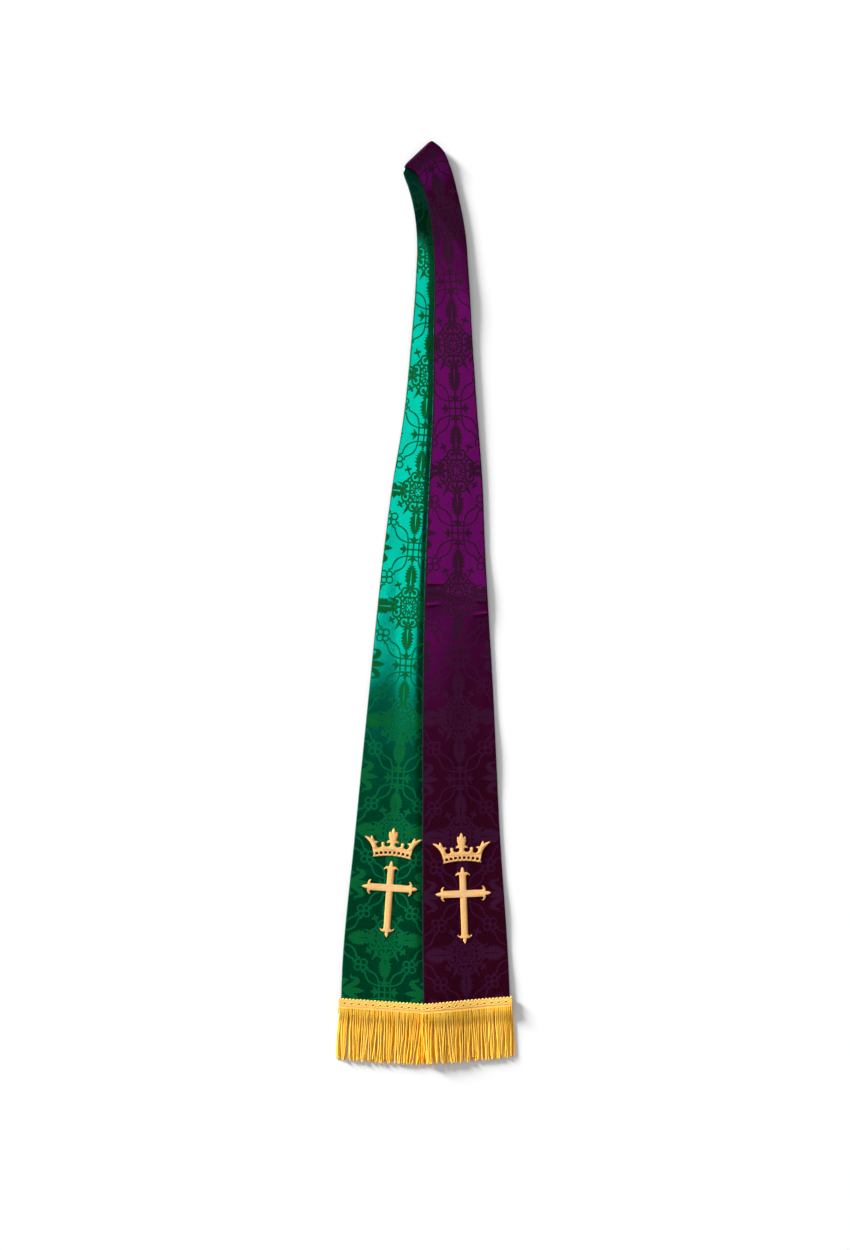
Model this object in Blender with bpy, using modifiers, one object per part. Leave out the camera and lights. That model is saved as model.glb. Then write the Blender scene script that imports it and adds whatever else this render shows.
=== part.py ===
"""Clerical stole, reversible, folded in half at the neck and laid flat.

The stole has two brocade faces, purple and green. Each face is cut in two halves of one shape,
joined by a seam at the centre back of the neck. The stole is folded on that seam: the purple face
is outside the fold, the green face inside it. The upper limb shows purple, the lower limb lies
beneath it, swung to the left, and shows green. A fringe with a woven header closes each hem, and a
raised satin stitch crown and cross lie above it on the face that shows.

Units are metres, +Z is up and +Y points to the neck. Tables are in millimetres and degrees.
"""

import math
from typing import NamedTuple

import bmesh
import bpy
import numpy as np

MM = 0.001

# Cloth and the fold at the neck
CLOTH = 1.0 * MM
GAP = 0.3 * MM
FOLD_INNER_RADIUS = 1.8 * MM
STACK = 2 * CLOTH + GAP
FOLD_OUTER_RADIUS = FOLD_INNER_RADIUS + STACK
FOLD_SETTLE = 58 * MM
FOLD_STEPS = 4

# Each limb is a row of straight sections. run is the distance from the fold along the limb, x and
# down place the middle of the section from the top of the fold, and tilt turns it from +X.
SECTION_COLUMNS = (
    "run", "width", "upper_x", "upper_down", "upper_tilt", "lower_x", "lower_down", "lower_tilt")
SECTIONS = (
    (0, 57.6, -8.3, 20.6, 43.4, -8.3, 20.6, 43.4),
    (16, 52.7, 7.2, 31.2, 37.0, -6.0, 36.6, 34.0),
    (38, 49.5, 17.3, 49.3, 29.9, 0.7, 57.5, 22.0),
    (77, 46.2, 28.9, 86.7, 17.5, 9.2, 95.2, 10.0),
    (130, 47.6, 38.1, 138.6, 7.0, 15.3, 147.9, 2.0),
    (184, 49.3, 41.7, 192.1, 2.7, 14.5, 201.5, -2.0),
    (286, 56.6, 43.9, 294.1, 1.2, 10.5, 303.5, -3.0),
    (388, 64.4, 46.8, 396.1, 1.4, 4.1, 405.5, -4.5),
    (490, 77.0, 48.2, 498.1, 0.2, -6.0, 506.6, -5.5),
    (592, 85.7, 47.9, 600.1, 0.3, -14.8, 607.8, -4.5),
    (796, 102.0, 51.3, 804.1, 1.1, -27.9, 811.0, -3.8),
    (1000, 112.4, 55.8, 1008.1, 1.8, -42.7, 1013.2, -4.0),
    (1204, 124.8, 62.7, 1212.1, 3.0, -55.4, 1215.0, -3.4),
    (1247, 126.0, 63.8, 1254.6, 4.4, -56.3, 1256.5, -3.9),
    (1340, 128.0, 66.3, 1347.5, 4.4, -60.0, 1349.5, -3.9),
)


class Wave(NamedTuple):
    """A low wave where an edge stands off what it lies on. side is the edge: -1 left, 1 right."""

    limb: str
    run: float
    side: int
    length: float
    lift: float


WAVES = (
    Wave("upper", 225, 1, 150, 1.5),
    Wave("upper", 430, -1, 150, 1.1),
    Wave("upper", 655, 1, 140, 1.6),
    Wave("upper", 640, -1, 125, 1.2),
    Wave("upper", 890, 1, 160, 1.2),
    Wave("upper", 1120, 1, 130, 0.9),
    Wave("lower", 265, -1, 140, 1.1),
    Wave("lower", 530, -1, 160, 1.4),
    Wave("lower", 775, -1, 150, 1.0),
    Wave("lower", 1100, -1, 140, 1.2),
)

# Rows of points along a panel after the turn of the fold: from, to, steps
PANEL_SPANS = ((12, 60, 5), (60, 200, 7), (200, 1184, 24), (1184, 1246, 4), (1246, 1263.7, 1))
COLUMNS = 8

# Header and fringe. The header is a folded tape: two legs and a web below the hem.
HEADER_TOP = 1247 * MM
HEADER_END = 1267 * MM
HEADER_WEB = 3 * MM
HEADER_TAPE = 1.0 * MM
HEADER_OVERHANG = 3 * MM
HEADER_HEIGHT = STACK + 2 * (HEADER_TAPE + GAP)
HEM_RAISE = HEADER_TAPE + GAP
HEM_RAISE_START = 1215 * MM
HEM_RAISE_END = 1243 * MM
HEADER_CLIMB_START = 1203 * MM
HEADER_CLIMB_END = 1237 * MM
HEADER_CLIMB = HEADER_HEIGHT - STACK
FRINGE_END = 1337 * MM
STRANDS_PER_ROW = 36
STRAND_THICKNESS = 1.2 * MM
STRAND_FILL = 0.68
STRAND_ROOT_IN_WEB = 1.5 * MM
STRAND_BEND = 1292 * MM
STRAND_UNEVEN = 2.0 * MM
STRAND_SWAY = 0.45 * MM
STRAND_SEED = 7
# Heights of the middle of a strand above what the limb lies on: at its root, bend and tip
STRAND_LAYERS = ((1.45 * MM, 1.15 * MM, 0.95 * MM), (3.15 * MM, 2.65 * MM, 2.4 * MM))

# The upper limb lies level past the lower limb's edge, then falls to the surface.
LEDGE = 12 * MM
FALL = 27 * MM

# Raised embroidery: height, its clearance, the grid that lets it follow the cloth
STITCH_HEIGHT = 1.2 * MM
DRAPE_STEP = 9 * MM
CROWN_TOP_RUN = {"upper": 1001, "lower": 989}
CROWN_HEIGHT = 41.5
CROSS_TOP_RUN = {"upper": 1050, "lower": 1037}

# Cross: reach of each arm from the crossing, and half the width of its bars
CROSS_REACH = {"top": 39.0, "bottom": 72.5, "side": 40.5}
CROSS_HALF_BAR = 4.8
# One half of a fleury end, from the bar to the point. Columns: out from the axis, back from the point
FLEUR = (
    (4.8, 15.5),
    (6.3, 12.9),
    (8.6, 12.6),
    (10.9, 14.9),
    (10.6, 11.6),
    (8.4, 9.2),
    (5.0, 9.0),
    (2.5, 9.8),
    (2.9, 6.2),
)
# One half of the crown, from its lower edge round to its top point. Columns: out, up
CROWN = (
    (0.0, 1.6),
    (14.0, 1.1),
    (26.6, -0.8),
    (28.6, 7.2),
    (30.6, 15.6),
    (34.4, 23.4),
    (40.6, 29.6),
    (35.6, 28.6),
    (32.6, 30.8),
    (29.4, 23.4),
    (25.0, 23.4),
    (26.2, 18.0),
    (22.6, 14.2),
    (18.6, 15.4),
    (18.4, 20.4),
    (16.2, 22.2),
    (14.0, 20.4),
    (14.4, 15.2),
    (10.4, 13.4),
    (6.8, 16.8),
    (9.0, 21.0),
    (4.2, 22.2),
    (6.4, 28.0),
    (7.0, 36.4),
    (3.6, 35.4),
    (0.0, 41.5),
)

# Looks of the plain model: colour, roughness, metallic
PURPLE_BROCADE = ("purple_brocade", (0.085, 0.008, 0.085), 0.5, 0.2)
GREEN_BROCADE = ("green_brocade", (0.0, 0.16, 0.09), 0.5, 0.2)
GOLD_THREAD = ("gold_thread", (0.83, 0.47, 0.15), 0.45, 0.3)
GOLD_FRINGE = ("gold_fringe", (0.84, 0.47, 0.06), 0.5, 0.2)

SIDES = {"upper": 1.0, "lower": -1.0}


def column(name):
    """Values of one column of SECTIONS, lengths in metres and tilts in radians."""
    values = np.array([row[SECTION_COLUMNS.index(name)] for row in SECTIONS], dtype=float)
    if name.endswith("tilt"):
        return np.radians(values)
    return values * MM


def smooth(share):
    """Ease from 0 to 1 as share goes from 0 to 1."""
    share = min(max(share, 0.0), 1.0)
    return share * share * (3.0 - 2.0 * share)


RUNS = column("run")
VALUES = {name: column(name) for name in SECTION_COLUMNS[1:]}
SLOPES = {name: np.gradient(values, RUNS) for name, values in VALUES.items()}


def section(name, run):
    """Value of a column at a run, on a smooth curve through the table's rows."""
    i = int(np.clip(np.searchsorted(RUNS, run) - 1, 0, len(RUNS) - 2))
    span = RUNS[i + 1] - RUNS[i]
    t = (run - RUNS[i]) / span
    values = VALUES[name]
    slopes = SLOPES[name]
    start = values[i] * (2 * t**3 - 3 * t**2 + 1) + slopes[i] * span * (t**3 - 2 * t**2 + t)
    end = values[i + 1] * (3 * t**2 - 2 * t**3) + slopes[i + 1] * span * (t**3 - t**2)
    return start + end


def half_width(run):
    """Half the limb's width at a run."""
    return section("width", run) / 2


def plan(limb, across, run):
    """Place of a point seen from above: across from the limb's middle, run along it."""
    tilt = section(limb + "_tilt", run)
    x = section(limb + "_x", run) + across * math.cos(tilt)
    y = -section(limb + "_down", run) + across * math.sin(tilt)
    return np.array([x, y])


# The lower limb's right edge, and the line of its hem, which the upper limb rests on
EDGE_RUNS = np.linspace(0.0, RUNS[-1], 90)
EDGE = np.array([plan("lower", half_width(run), run) for run in EDGE_RUNS])
HEM_MIDDLE = plan("lower", 0.0, HEADER_TOP)
HEM_TILT = section("lower_tilt", HEADER_TOP)
HEM_DOWN = np.array([math.sin(HEM_TILT), -math.cos(HEM_TILT)])


def rest_height(limb, place):
    """Height of what the limb lies on at a place: the surface, or the lower limb."""
    if limb == "lower":
        return 0.0
    edge_x = np.interp(-place[1], -EDGE[:, 1], EDGE[:, 0])
    share = 1.0 - smooth((place[0] - edge_x - LEDGE) / FALL)
    lower_run = HEADER_TOP + float(np.dot(place - HEM_MIDDLE, HEM_DOWN))
    climb = smooth((lower_run - HEADER_CLIMB_START) / (HEADER_CLIMB_END - HEADER_CLIMB_START))
    settle = smooth((lower_run - HEADER_END - 6 * MM) / (FRINGE_END - HEADER_END))
    return share * (STACK + GAP + HEADER_CLIMB * climb * (1.0 - 0.85 * settle))


def wave_height(limb, across, run):
    """Height by which the waves lift the limb."""
    height = 0.0
    for wave in WAVES:
        if wave.limb != limb:
            continue
        along = abs(run - wave.run * MM) / (wave.length * MM / 2)
        outward = wave.side * across / half_width(run)
        height += wave.lift * MM * (1.0 - smooth(along)) * smooth(outward)
    return height


def base_point(limb, across, run):
    """Point of the limb's green face, which the other surfaces are offset from."""
    place = plan(limb, across, run)
    raised = HEM_RAISE * smooth((run - HEM_RAISE_START) / (HEM_RAISE_END - HEM_RAISE_START))
    height = rest_height(limb, place) + wave_height(limb, across, run) + raised
    if limb == "lower":
        height += STACK
    else:
        lift = 2 * FOLD_INNER_RADIUS - GAP
        height += lift * (1.0 - smooth((run - FOLD_OUTER_RADIUS) / FOLD_SETTLE))
    return np.array([place[0], place[1], height])


def sheet_point(limb, offset, across, run):
    """Point at an offset from the green face towards the purple face."""
    step = 1.0 * MM
    along = base_point(limb, across, run + step) - base_point(limb, across, run - step)
    sideways = base_point(limb, across + step, run) - base_point(limb, across - step, run)
    normal = np.cross(along, sideways)
    normal *= SIDES[limb] * math.copysign(1.0, normal[2]) / np.linalg.norm(normal)
    return base_point(limb, across, run) + normal * offset


def fold_point(limb, offset, share, angle):
    """Point on the fold at an offset, share of the half width and angle from its outer edge."""
    radius = FOLD_INNER_RADIUS + offset
    tilt = section("upper_tilt", 0.0)
    inward = FOLD_OUTER_RADIUS - radius * math.cos(angle)
    place = plan(limb, share * half_width(0.0), 0.0)
    place = place + inward * np.array([math.sin(tilt), -math.cos(tilt)])
    height = FOLD_OUTER_RADIUS + SIDES[limb] * radius * math.sin(angle)
    return np.array([place[0], place[1], height])


def panel_runs():
    """Runs of the rows of points after the turn of the fold."""
    runs = [PANEL_SPANS[0][0] * MM]
    for start, end, steps in PANEL_SPANS:
        runs += [(start + (end - start) * (k + 1) / steps) * MM for k in range(steps)]
    return runs


SHARES = np.linspace(-1.0, 1.0, COLUMNS + 1)
PANEL_RUNS = panel_runs()


def panel_rows(limb, offset):
    """Rows of points of one surface, from the seam on the fold to the hem."""
    first = math.asin(GAP / 2 / (FOLD_INNER_RADIUS + offset))
    rows = []
    for angle in np.linspace(first, math.pi / 2, FOLD_STEPS + 1):
        rows.append([fold_point(limb, offset, share, angle) for share in SHARES])
    for run in PANEL_RUNS:
        across = SHARES * half_width(run)
        rows.append([sheet_point(limb, offset, value, run) for value in across])
    return rows


def new_object(name, mesh, finish, collection):
    """Add a mesh to a collection as an object with its finish."""
    obj = bpy.data.objects.new(name, mesh)
    if finish is not None:
        mesh.materials.append(material(*finish))
    collection.objects.link(obj)
    return obj


def material(name, colour, roughness, metallic):
    """Principled material, made once."""
    if name in bpy.data.materials:
        return bpy.data.materials[name]
    made = bpy.data.materials.new(name)
    made.use_nodes = True
    shader = made.node_tree.nodes["Principled BSDF"]
    shader.inputs["Base Color"].default_value = (*colour, 1.0)
    shader.inputs["Roughness"].default_value = roughness
    shader.inputs["Metallic"].default_value = metallic
    made.diffuse_color = (*colour, 1.0)
    return made


def mesh_from(bm, name):
    """Turn a bmesh into a mesh."""
    mesh = bpy.data.meshes.new(name)
    bm.to_mesh(mesh)
    bm.free()
    return mesh


def make_panel(name, limb, offset, finish, collection):
    """A wall of brocade: an open sheet of points, thickened towards the purple face."""
    bm = bmesh.new()
    rows = [[bm.verts.new(point) for point in row] for row in panel_rows(limb, offset)]
    for above, below in zip(rows, rows[1:]):
        for k in range(COLUMNS):
            corners = (above[k], below[k], below[k + 1], above[k + 1])
            bm.faces.new(corners if limb == "upper" else corners[::-1])
    panel = new_object(name, mesh_from(bm, name), finish, collection)
    wall = panel.modifiers.new("Wall", "SOLIDIFY")
    wall.thickness = CLOTH
    wall.offset = 1.0
    wall.use_even_offset = True
    panel.data.shade_smooth()
    panel.modifiers.new("Shading", "WEIGHTED_NORMAL")
    return panel


def header_sections(limb):
    """Sections of the folded tape, one for each column of the panels and each end."""
    outer = (-HEADER_TAPE - GAP, STACK + GAP + HEADER_TAPE)
    inner = (-GAP, STACK + GAP)
    slot_end = HEADER_END - HEADER_WEB
    profile = (
        (HEADER_TOP, outer[0]),
        (HEADER_END, outer[0]),
        (HEADER_END, outer[1]),
        (HEADER_TOP, outer[1]),
        (HEADER_TOP, inner[1]),
        (slot_end, inner[1]),
        (slot_end, inner[0]),
        (HEADER_TOP, inner[0]),
    )
    reach = half_width(HEADER_TOP)
    places = [-reach - HEADER_OVERHANG, *(SHARES * reach), reach + HEADER_OVERHANG]
    return [[sheet_point(limb, offset, across, run) for run, offset in profile] for across in places]


def make_header_mesh(limb, name):
    """Loft the tape across the limb and close its ends."""
    bm = bmesh.new()
    rings = [[bm.verts.new(point) for point in ring] for ring in header_sections(limb)]
    count = len(rings[0])
    for left, right in zip(rings, rings[1:]):
        for k in range(count):
            bm.faces.new((left[k], left[(k + 1) % count], right[(k + 1) % count], right[k]))
    for ring in (rings[0], rings[-1]):
        for corners in ((0, 3, 4, 7), (0, 7, 6, 1), (6, 5, 2, 1), (5, 4, 3, 2)):
            bm.faces.new([ring[k] for k in corners])
    bmesh.ops.recalc_face_normals(bm, faces=bm.faces)
    return mesh_from(bm, name)


def add_strand(bm, limb, across, width, heights, end):
    """One four sided strand from the header's web to its tip."""
    runs = (HEADER_END - STRAND_ROOT_IN_WEB, STRAND_BEND, end)
    rings = []
    for run, height, part in zip(runs, heights, (0.85, 1.0, 0.8)):
        middle = plan(limb, across, run)
        tilt = section(limb + "_tilt", run)
        side = np.array([math.cos(tilt), math.sin(tilt), 0.0]) * width * part / 2
        up = np.array([0.0, 0.0, STRAND_THICKNESS / 2])
        centre = np.array([*middle, rest_height(limb, middle) + height])
        corners = (centre - side - up, centre + side - up, centre + side + up, centre - side + up)
        rings.append([bm.verts.new(corner) for corner in corners])
    for near, far in zip(rings, rings[1:]):
        for k in range(4):
            bm.faces.new((near[k], near[(k + 1) % 4], far[(k + 1) % 4], far[k]))
    bm.faces.new(rings[0])
    bm.faces.new(rings[-1])


def make_strands_mesh(limb, name):
    """Two layers of strands, the upper one set half a pitch across."""
    draw = np.random.default_rng(STRAND_SEED)
    bm = bmesh.new()
    reach = half_width(HEADER_TOP) + HEADER_OVERHANG
    pitch = 2 * reach / (STRANDS_PER_ROW + 0.5)
    for layer, heights in enumerate(STRAND_LAYERS):
        for k in range(STRANDS_PER_ROW):
            across = -reach + pitch * (k + 0.5 + 0.5 * layer) + draw.uniform(-1, 1) * STRAND_SWAY
            end = FRINGE_END + draw.uniform(-1, 1) * STRAND_UNEVEN
            add_strand(bm, limb, across, pitch * STRAND_FILL, heights, end)
    bmesh.ops.recalc_face_normals(bm, faces=bm.faces)
    return mesh_from(bm, name)


def make_fringe(name, limb, collection, cutters):
    """Header with the strands joined into its web."""
    header = new_object(name, make_header_mesh(limb, name), GOLD_FRINGE, collection)
    strands = new_object(name + "_strands", make_strands_mesh(limb, name + "_strands"), None, cutters)
    strands.hide_render = True
    strands.display_type = "WIRE"
    join = header.modifiers.new("Strands", "BOOLEAN")
    join.operation = "UNION"
    join.solver = "EXACT"
    join.object = strands
    return header


def mirrored(half):
    """Close a half outline over its axis, points with no distance from it once only."""
    other = [(-out, up) for out, up in reversed(half) if out > 0]
    return [*half, *other]


def cross_outline():
    """Outline of a Latin cross with fleury ends, about its crossing."""
    arms = (
        ((0.0, 1.0), CROSS_REACH["top"]),
        ((-1.0, 0.0), CROSS_REACH["side"]),
        ((0.0, -1.0), CROSS_REACH["bottom"]),
        ((1.0, 0.0), CROSS_REACH["side"]),
    )
    outline = []
    for axis, reach in arms:
        right = (axis[1], -axis[0])
        for out, back in mirrored([*FLEUR, (0.0, 0.0)]):
            along = reach - back
            outline.append((axis[0] * along + right[0] * out, axis[1] * along + right[1] * out))
        outline.append(tuple(CROSS_HALF_BAR * (axis[k] - right[k]) for k in range(2)))
    return outline


def flat_shape(name, outline):
    """Filled flat outline with its thickness, as a mesh that is cut into a grid."""
    curve = bpy.data.curves.new(name, "CURVE")
    curve.dimensions = "2D"
    curve.fill_mode = "BOTH"
    curve.extrude = STITCH_HEIGHT / 2
    spline = curve.splines.new("POLY")
    spline.points.add(len(outline) - 1)
    spline.use_cyclic_u = True
    for point, (x, y) in zip(spline.points, outline):
        point.co = (x * MM, y * MM, 0.0, 1.0)
    holder = bpy.data.objects.new(name, curve)
    bpy.context.scene.collection.objects.link(holder)
    bpy.context.view_layer.update()
    evaluated = holder.evaluated_get(bpy.context.evaluated_depsgraph_get())
    flat = bpy.data.meshes.new_from_object(evaluated)
    bpy.data.objects.remove(holder)
    bm = bmesh.new()
    bm.from_mesh(flat)
    bpy.data.meshes.remove(flat)
    bmesh.ops.remove_doubles(bm, verts=bm.verts, dist=0.02 * MM)
    for axis in range(2):
        values = [point[axis] * MM for point in outline]
        for k in range(math.ceil(min(values) / DRAPE_STEP), math.ceil(max(values) / DRAPE_STEP)):
            place = [0.0, 0.0, 0.0]
            normal = [0.0, 0.0, 0.0]
            place[axis] = k * DRAPE_STEP
            normal[axis] = 1.0
            geometry = [*bm.verts, *bm.edges, *bm.faces]
            bmesh.ops.bisect_plane(bm, geom=geometry, plane_co=place, plane_no=normal, dist=1e-6)
    bmesh.ops.triangulate(bm, faces=bm.faces)
    return bm


def facet_point(limb, offset, across, run):
    """Point over the panel's own facets: its four corners round the place, mixed."""
    row = int(np.searchsorted(PANEL_RUNS, run)) - 1
    runs = PANEL_RUNS[row:row + 2]
    part = (run - runs[0]) / (runs[1] - runs[0])
    share = across / half_width(run)
    cell = int(np.clip((share + 1.0) / 2 * COLUMNS, 0, COLUMNS - 1))
    mix = (share - SHARES[cell]) / (SHARES[cell + 1] - SHARES[cell])
    corners = []
    for value in runs:
        ends = [sheet_point(limb, offset, SHARES[cell + k] * half_width(value), value) for k in (0, 1)]
        corners.append(ends[0] * (1 - mix) + ends[1] * mix)
    return corners[0] * (1 - part) + corners[1] * part


def make_embroidery(name, limb, outline, origin_run, collection):
    """Satin stitch shape laid on the limb's upper side, 0.3 mm clear of it."""
    bm = flat_shape(name, outline)
    for vert in bm.verts:
        above = GAP + STITCH_HEIGHT / 2 + vert.co.z
        offset = STACK + above if limb == "upper" else -above
        vert.co = facet_point(limb, offset, vert.co.x, origin_run * MM - vert.co.y)
    bmesh.ops.recalc_face_normals(bm, faces=bm.faces)
    return new_object(name, mesh_from(bm, name), GOLD_THREAD, collection)


def centre(objects):
    """Move the meshes so that the origin is under the middle of the whole stole."""
    bpy.context.view_layer.update()
    depsgraph = bpy.context.evaluated_depsgraph_get()
    corners = []
    for obj in objects:
        evaluated = obj.evaluated_get(depsgraph)
        mesh = evaluated.to_mesh()
        corners += [vert.co.copy() for vert in mesh.vertices]
        evaluated.to_mesh_clear()
    points = np.array(corners)
    low = points.min(axis=0)
    high = points.max(axis=0)
    return np.array([-(low[0] + high[0]) / 2, -(low[1] + high[1]) / 2, -low[2]])


def main():
    """Build the stole."""
    for obj in list(bpy.data.objects):
        bpy.data.objects.remove(obj)
    parts = bpy.data.collections.new("Clerical stole")
    cutters = bpy.data.collections.new("Cutters")
    for collection in (parts, cutters):
        bpy.context.scene.collection.children.link(collection)
    face_offset = CLOTH + GAP
    crown = mirrored(CROWN)
    for limb in SIDES:
        make_panel("green_face_" + limb, limb, 0.0, GREEN_BROCADE, parts)
        make_panel("purple_face_" + limb, limb, face_offset, PURPLE_BROCADE, parts)
        make_fringe("fringe_" + limb, limb, parts, cutters)
        crown_run = CROWN_TOP_RUN[limb] + CROWN_HEIGHT
        make_embroidery("crown_" + limb, limb, crown, crown_run, parts)
        cross_run = CROSS_TOP_RUN[limb] + CROSS_REACH["top"]
        make_embroidery("cross_" + limb, limb, cross_outline(), cross_run, parts)
    shift = centre(parts.objects)
    for obj in bpy.data.objects:
        for vert in obj.data.vertices:
            vert.co = np.array(vert.co) + shift


main()
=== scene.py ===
"""Clerical stole, green and purple, laid flat: its brocade, embroidery, fringe, light and camera.

The frame holds the plain solids. Each one is replaced here by the cloth, thread or cord that it
stands for, in the same place. Lengths are in metres, and in millimetres in the tables that say so.
"""
import functools
import logging
import math
from collections.abc import Callable, Sequence
from dataclasses import dataclass
from enum import Enum
from typing import NamedTuple

import bmesh
import bpy
import numpy as np
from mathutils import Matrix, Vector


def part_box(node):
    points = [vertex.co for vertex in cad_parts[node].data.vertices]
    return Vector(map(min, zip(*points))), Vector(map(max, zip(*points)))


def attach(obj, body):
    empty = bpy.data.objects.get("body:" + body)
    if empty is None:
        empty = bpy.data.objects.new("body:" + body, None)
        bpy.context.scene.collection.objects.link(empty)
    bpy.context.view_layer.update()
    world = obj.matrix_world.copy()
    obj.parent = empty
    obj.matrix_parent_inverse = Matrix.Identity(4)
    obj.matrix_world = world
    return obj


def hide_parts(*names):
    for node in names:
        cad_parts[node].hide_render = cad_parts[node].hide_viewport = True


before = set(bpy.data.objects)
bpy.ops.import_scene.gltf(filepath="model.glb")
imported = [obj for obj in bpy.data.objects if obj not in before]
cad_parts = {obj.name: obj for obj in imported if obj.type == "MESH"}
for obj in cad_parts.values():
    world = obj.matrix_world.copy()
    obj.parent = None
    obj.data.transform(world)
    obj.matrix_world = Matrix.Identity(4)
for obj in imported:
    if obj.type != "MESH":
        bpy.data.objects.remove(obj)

log = logging.getLogger("stole")
Array = np.ndarray
Colour = tuple[float, float, float]
MM = 0.001


class Limb(Enum):
    """One of the two hanging ends. The upper one lies on the lower one."""

    UPPER = "upper"
    LOWER = "lower"

    @property
    def side(self) -> float:
        """Direction in which the purple face looks: up on the upper limb, down on the lower one."""
        return 1.0 if self is Limb.UPPER else -1.0


class Face(Enum):
    """One of the two brocades. The value is its direction across the cloth's thickness."""

    GREEN = -1.0
    PURPLE = 1.0


class Section(NamedTuple):
    """Straight section across a limb, in millimetres and degrees.

    x and down place its middle from the top of the fold, and tilt turns it from +X.
    """

    run: float
    width: float
    upper_x: float
    upper_down: float
    upper_tilt: float
    lower_x: float
    lower_down: float
    lower_tilt: float


SECTIONS = (
    Section(0, 57.6, -8.3, 20.6, 43.4, -8.3, 20.6, 43.4),
    Section(16, 52.7, 7.2, 31.2, 37.0, -6.0, 36.6, 34.0),
    Section(38, 49.5, 17.3, 49.3, 29.9, 0.7, 57.5, 22.0),
    Section(77, 46.2, 28.9, 86.7, 17.5, 9.2, 95.2, 10.0),
    Section(130, 47.6, 38.1, 138.6, 7.0, 15.3, 147.9, 2.0),
    Section(184, 49.3, 41.7, 192.1, 2.7, 14.5, 201.5, -2.0),
    Section(286, 56.6, 43.9, 294.1, 1.2, 10.5, 303.5, -3.0),
    Section(388, 64.4, 46.8, 396.1, 1.4, 4.1, 405.5, -4.5),
    Section(490, 77.0, 48.2, 498.1, 0.2, -6.0, 506.6, -5.5),
    Section(592, 85.7, 47.9, 600.1, 0.3, -14.8, 607.8, -4.5),
    Section(796, 102.0, 51.3, 804.1, 1.1, -27.9, 811.0, -3.8),
    Section(1000, 112.4, 55.8, 1008.1, 1.8, -42.7, 1013.2, -4.0),
    Section(1204, 124.8, 62.7, 1212.1, 3.0, -55.4, 1215.0, -3.4),
    Section(1247, 126.0, 63.8, 1254.6, 4.4, -56.3, 1256.5, -3.9),
    Section(1340, 128.0, 66.3, 1347.5, 4.4, -60.0, 1349.5, -3.9),
)


class Wave(NamedTuple):
    """Low wave where an edge stands off what it lies on, in millimetres. side: -1 left, 1 right."""

    limb: Limb
    run: float
    side: int
    length: float
    lift: float


WAVES = (
    Wave(Limb.UPPER, 225, 1, 150, 1.5),
    Wave(Limb.UPPER, 430, -1, 150, 1.1),
    Wave(Limb.UPPER, 655, 1, 140, 1.6),
    Wave(Limb.UPPER, 640, -1, 125, 1.2),
    Wave(Limb.UPPER, 890, 1, 160, 1.2),
    Wave(Limb.UPPER, 1120, 1, 130, 0.9),
    Wave(Limb.LOWER, 265, -1, 140, 1.1),
    Wave(Limb.LOWER, 530, -1, 160, 1.4),
    Wave(Limb.LOWER, 775, -1, 150, 1.0),
    Wave(Limb.LOWER, 1100, -1, 140, 1.2),
)


class Crease(NamedTuple):
    """Soft ridge left in the cloth, in millimetres and degrees.

    share places it across the limb, from -1 at the left edge to 1, and heading turns it from the
    limb's own direction. length and width are where it has fallen to a third of its height.
    """

    limb: Limb
    run: float
    share: float
    heading: float
    length: float
    width: float
    height: float


CREASES = (
    Crease(Limb.UPPER, 638, -0.80, 88, 15, 2.6, 0.50),
    Crease(Limb.UPPER, 650, -0.84, 84, 12, 2.1, 0.36),
    Crease(Limb.UPPER, 669, -0.80, 96, 10, 2.3, 0.34),
    Crease(Limb.UPPER, 664, 0.86, 86, 11, 2.2, 0.34),
    Crease(Limb.UPPER, 683, 0.84, 97, 12, 2.4, 0.36),
    Crease(Limb.UPPER, 655, 0.10, 84, 22, 7.0, 0.20),
    Crease(Limb.UPPER, 128, 0.15, 24, 46, 8.0, 0.34),
    Crease(Limb.UPPER, 300, -0.35, 7, 90, 9.0, 0.30),
    Crease(Limb.UPPER, 462, 0.48, -6, 110, 10.0, 0.34),
    Crease(Limb.UPPER, 560, -0.30, 12, 60, 9.0, 0.26),
    Crease(Limb.UPPER, 795, -0.40, 9, 100, 13.0, 0.34),
    Crease(Limb.UPPER, 860, 0.46, -12, 84, 11.0, 0.30),
    Crease(Limb.UPPER, 1160, -0.52, 15, 60, 10.0, 0.28),
    Crease(Limb.LOWER, 150, -0.30, 18, 40, 7.0, 0.26),
    Crease(Limb.LOWER, 300, -0.62, -5, 70, 7.0, 0.26),
    Crease(Limb.LOWER, 470, -0.58, 6, 90, 9.0, 0.28),
    Crease(Limb.LOWER, 655, -0.90, 91, 10, 2.0, 0.22),
    Crease(Limb.LOWER, 672, -0.86, 86, 8, 1.8, 0.18),
    Crease(Limb.LOWER, 548, -0.10, 58, 34, 11.0, 0.34),
    Crease(Limb.LOWER, 610, -0.60, -9, 80, 9.0, 0.30),
    Crease(Limb.LOWER, 890, -0.55, 8, 100, 11.0, 0.34),
    Crease(Limb.LOWER, 1170, -0.60, -12, 60, 9.0, 0.26),
)

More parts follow.
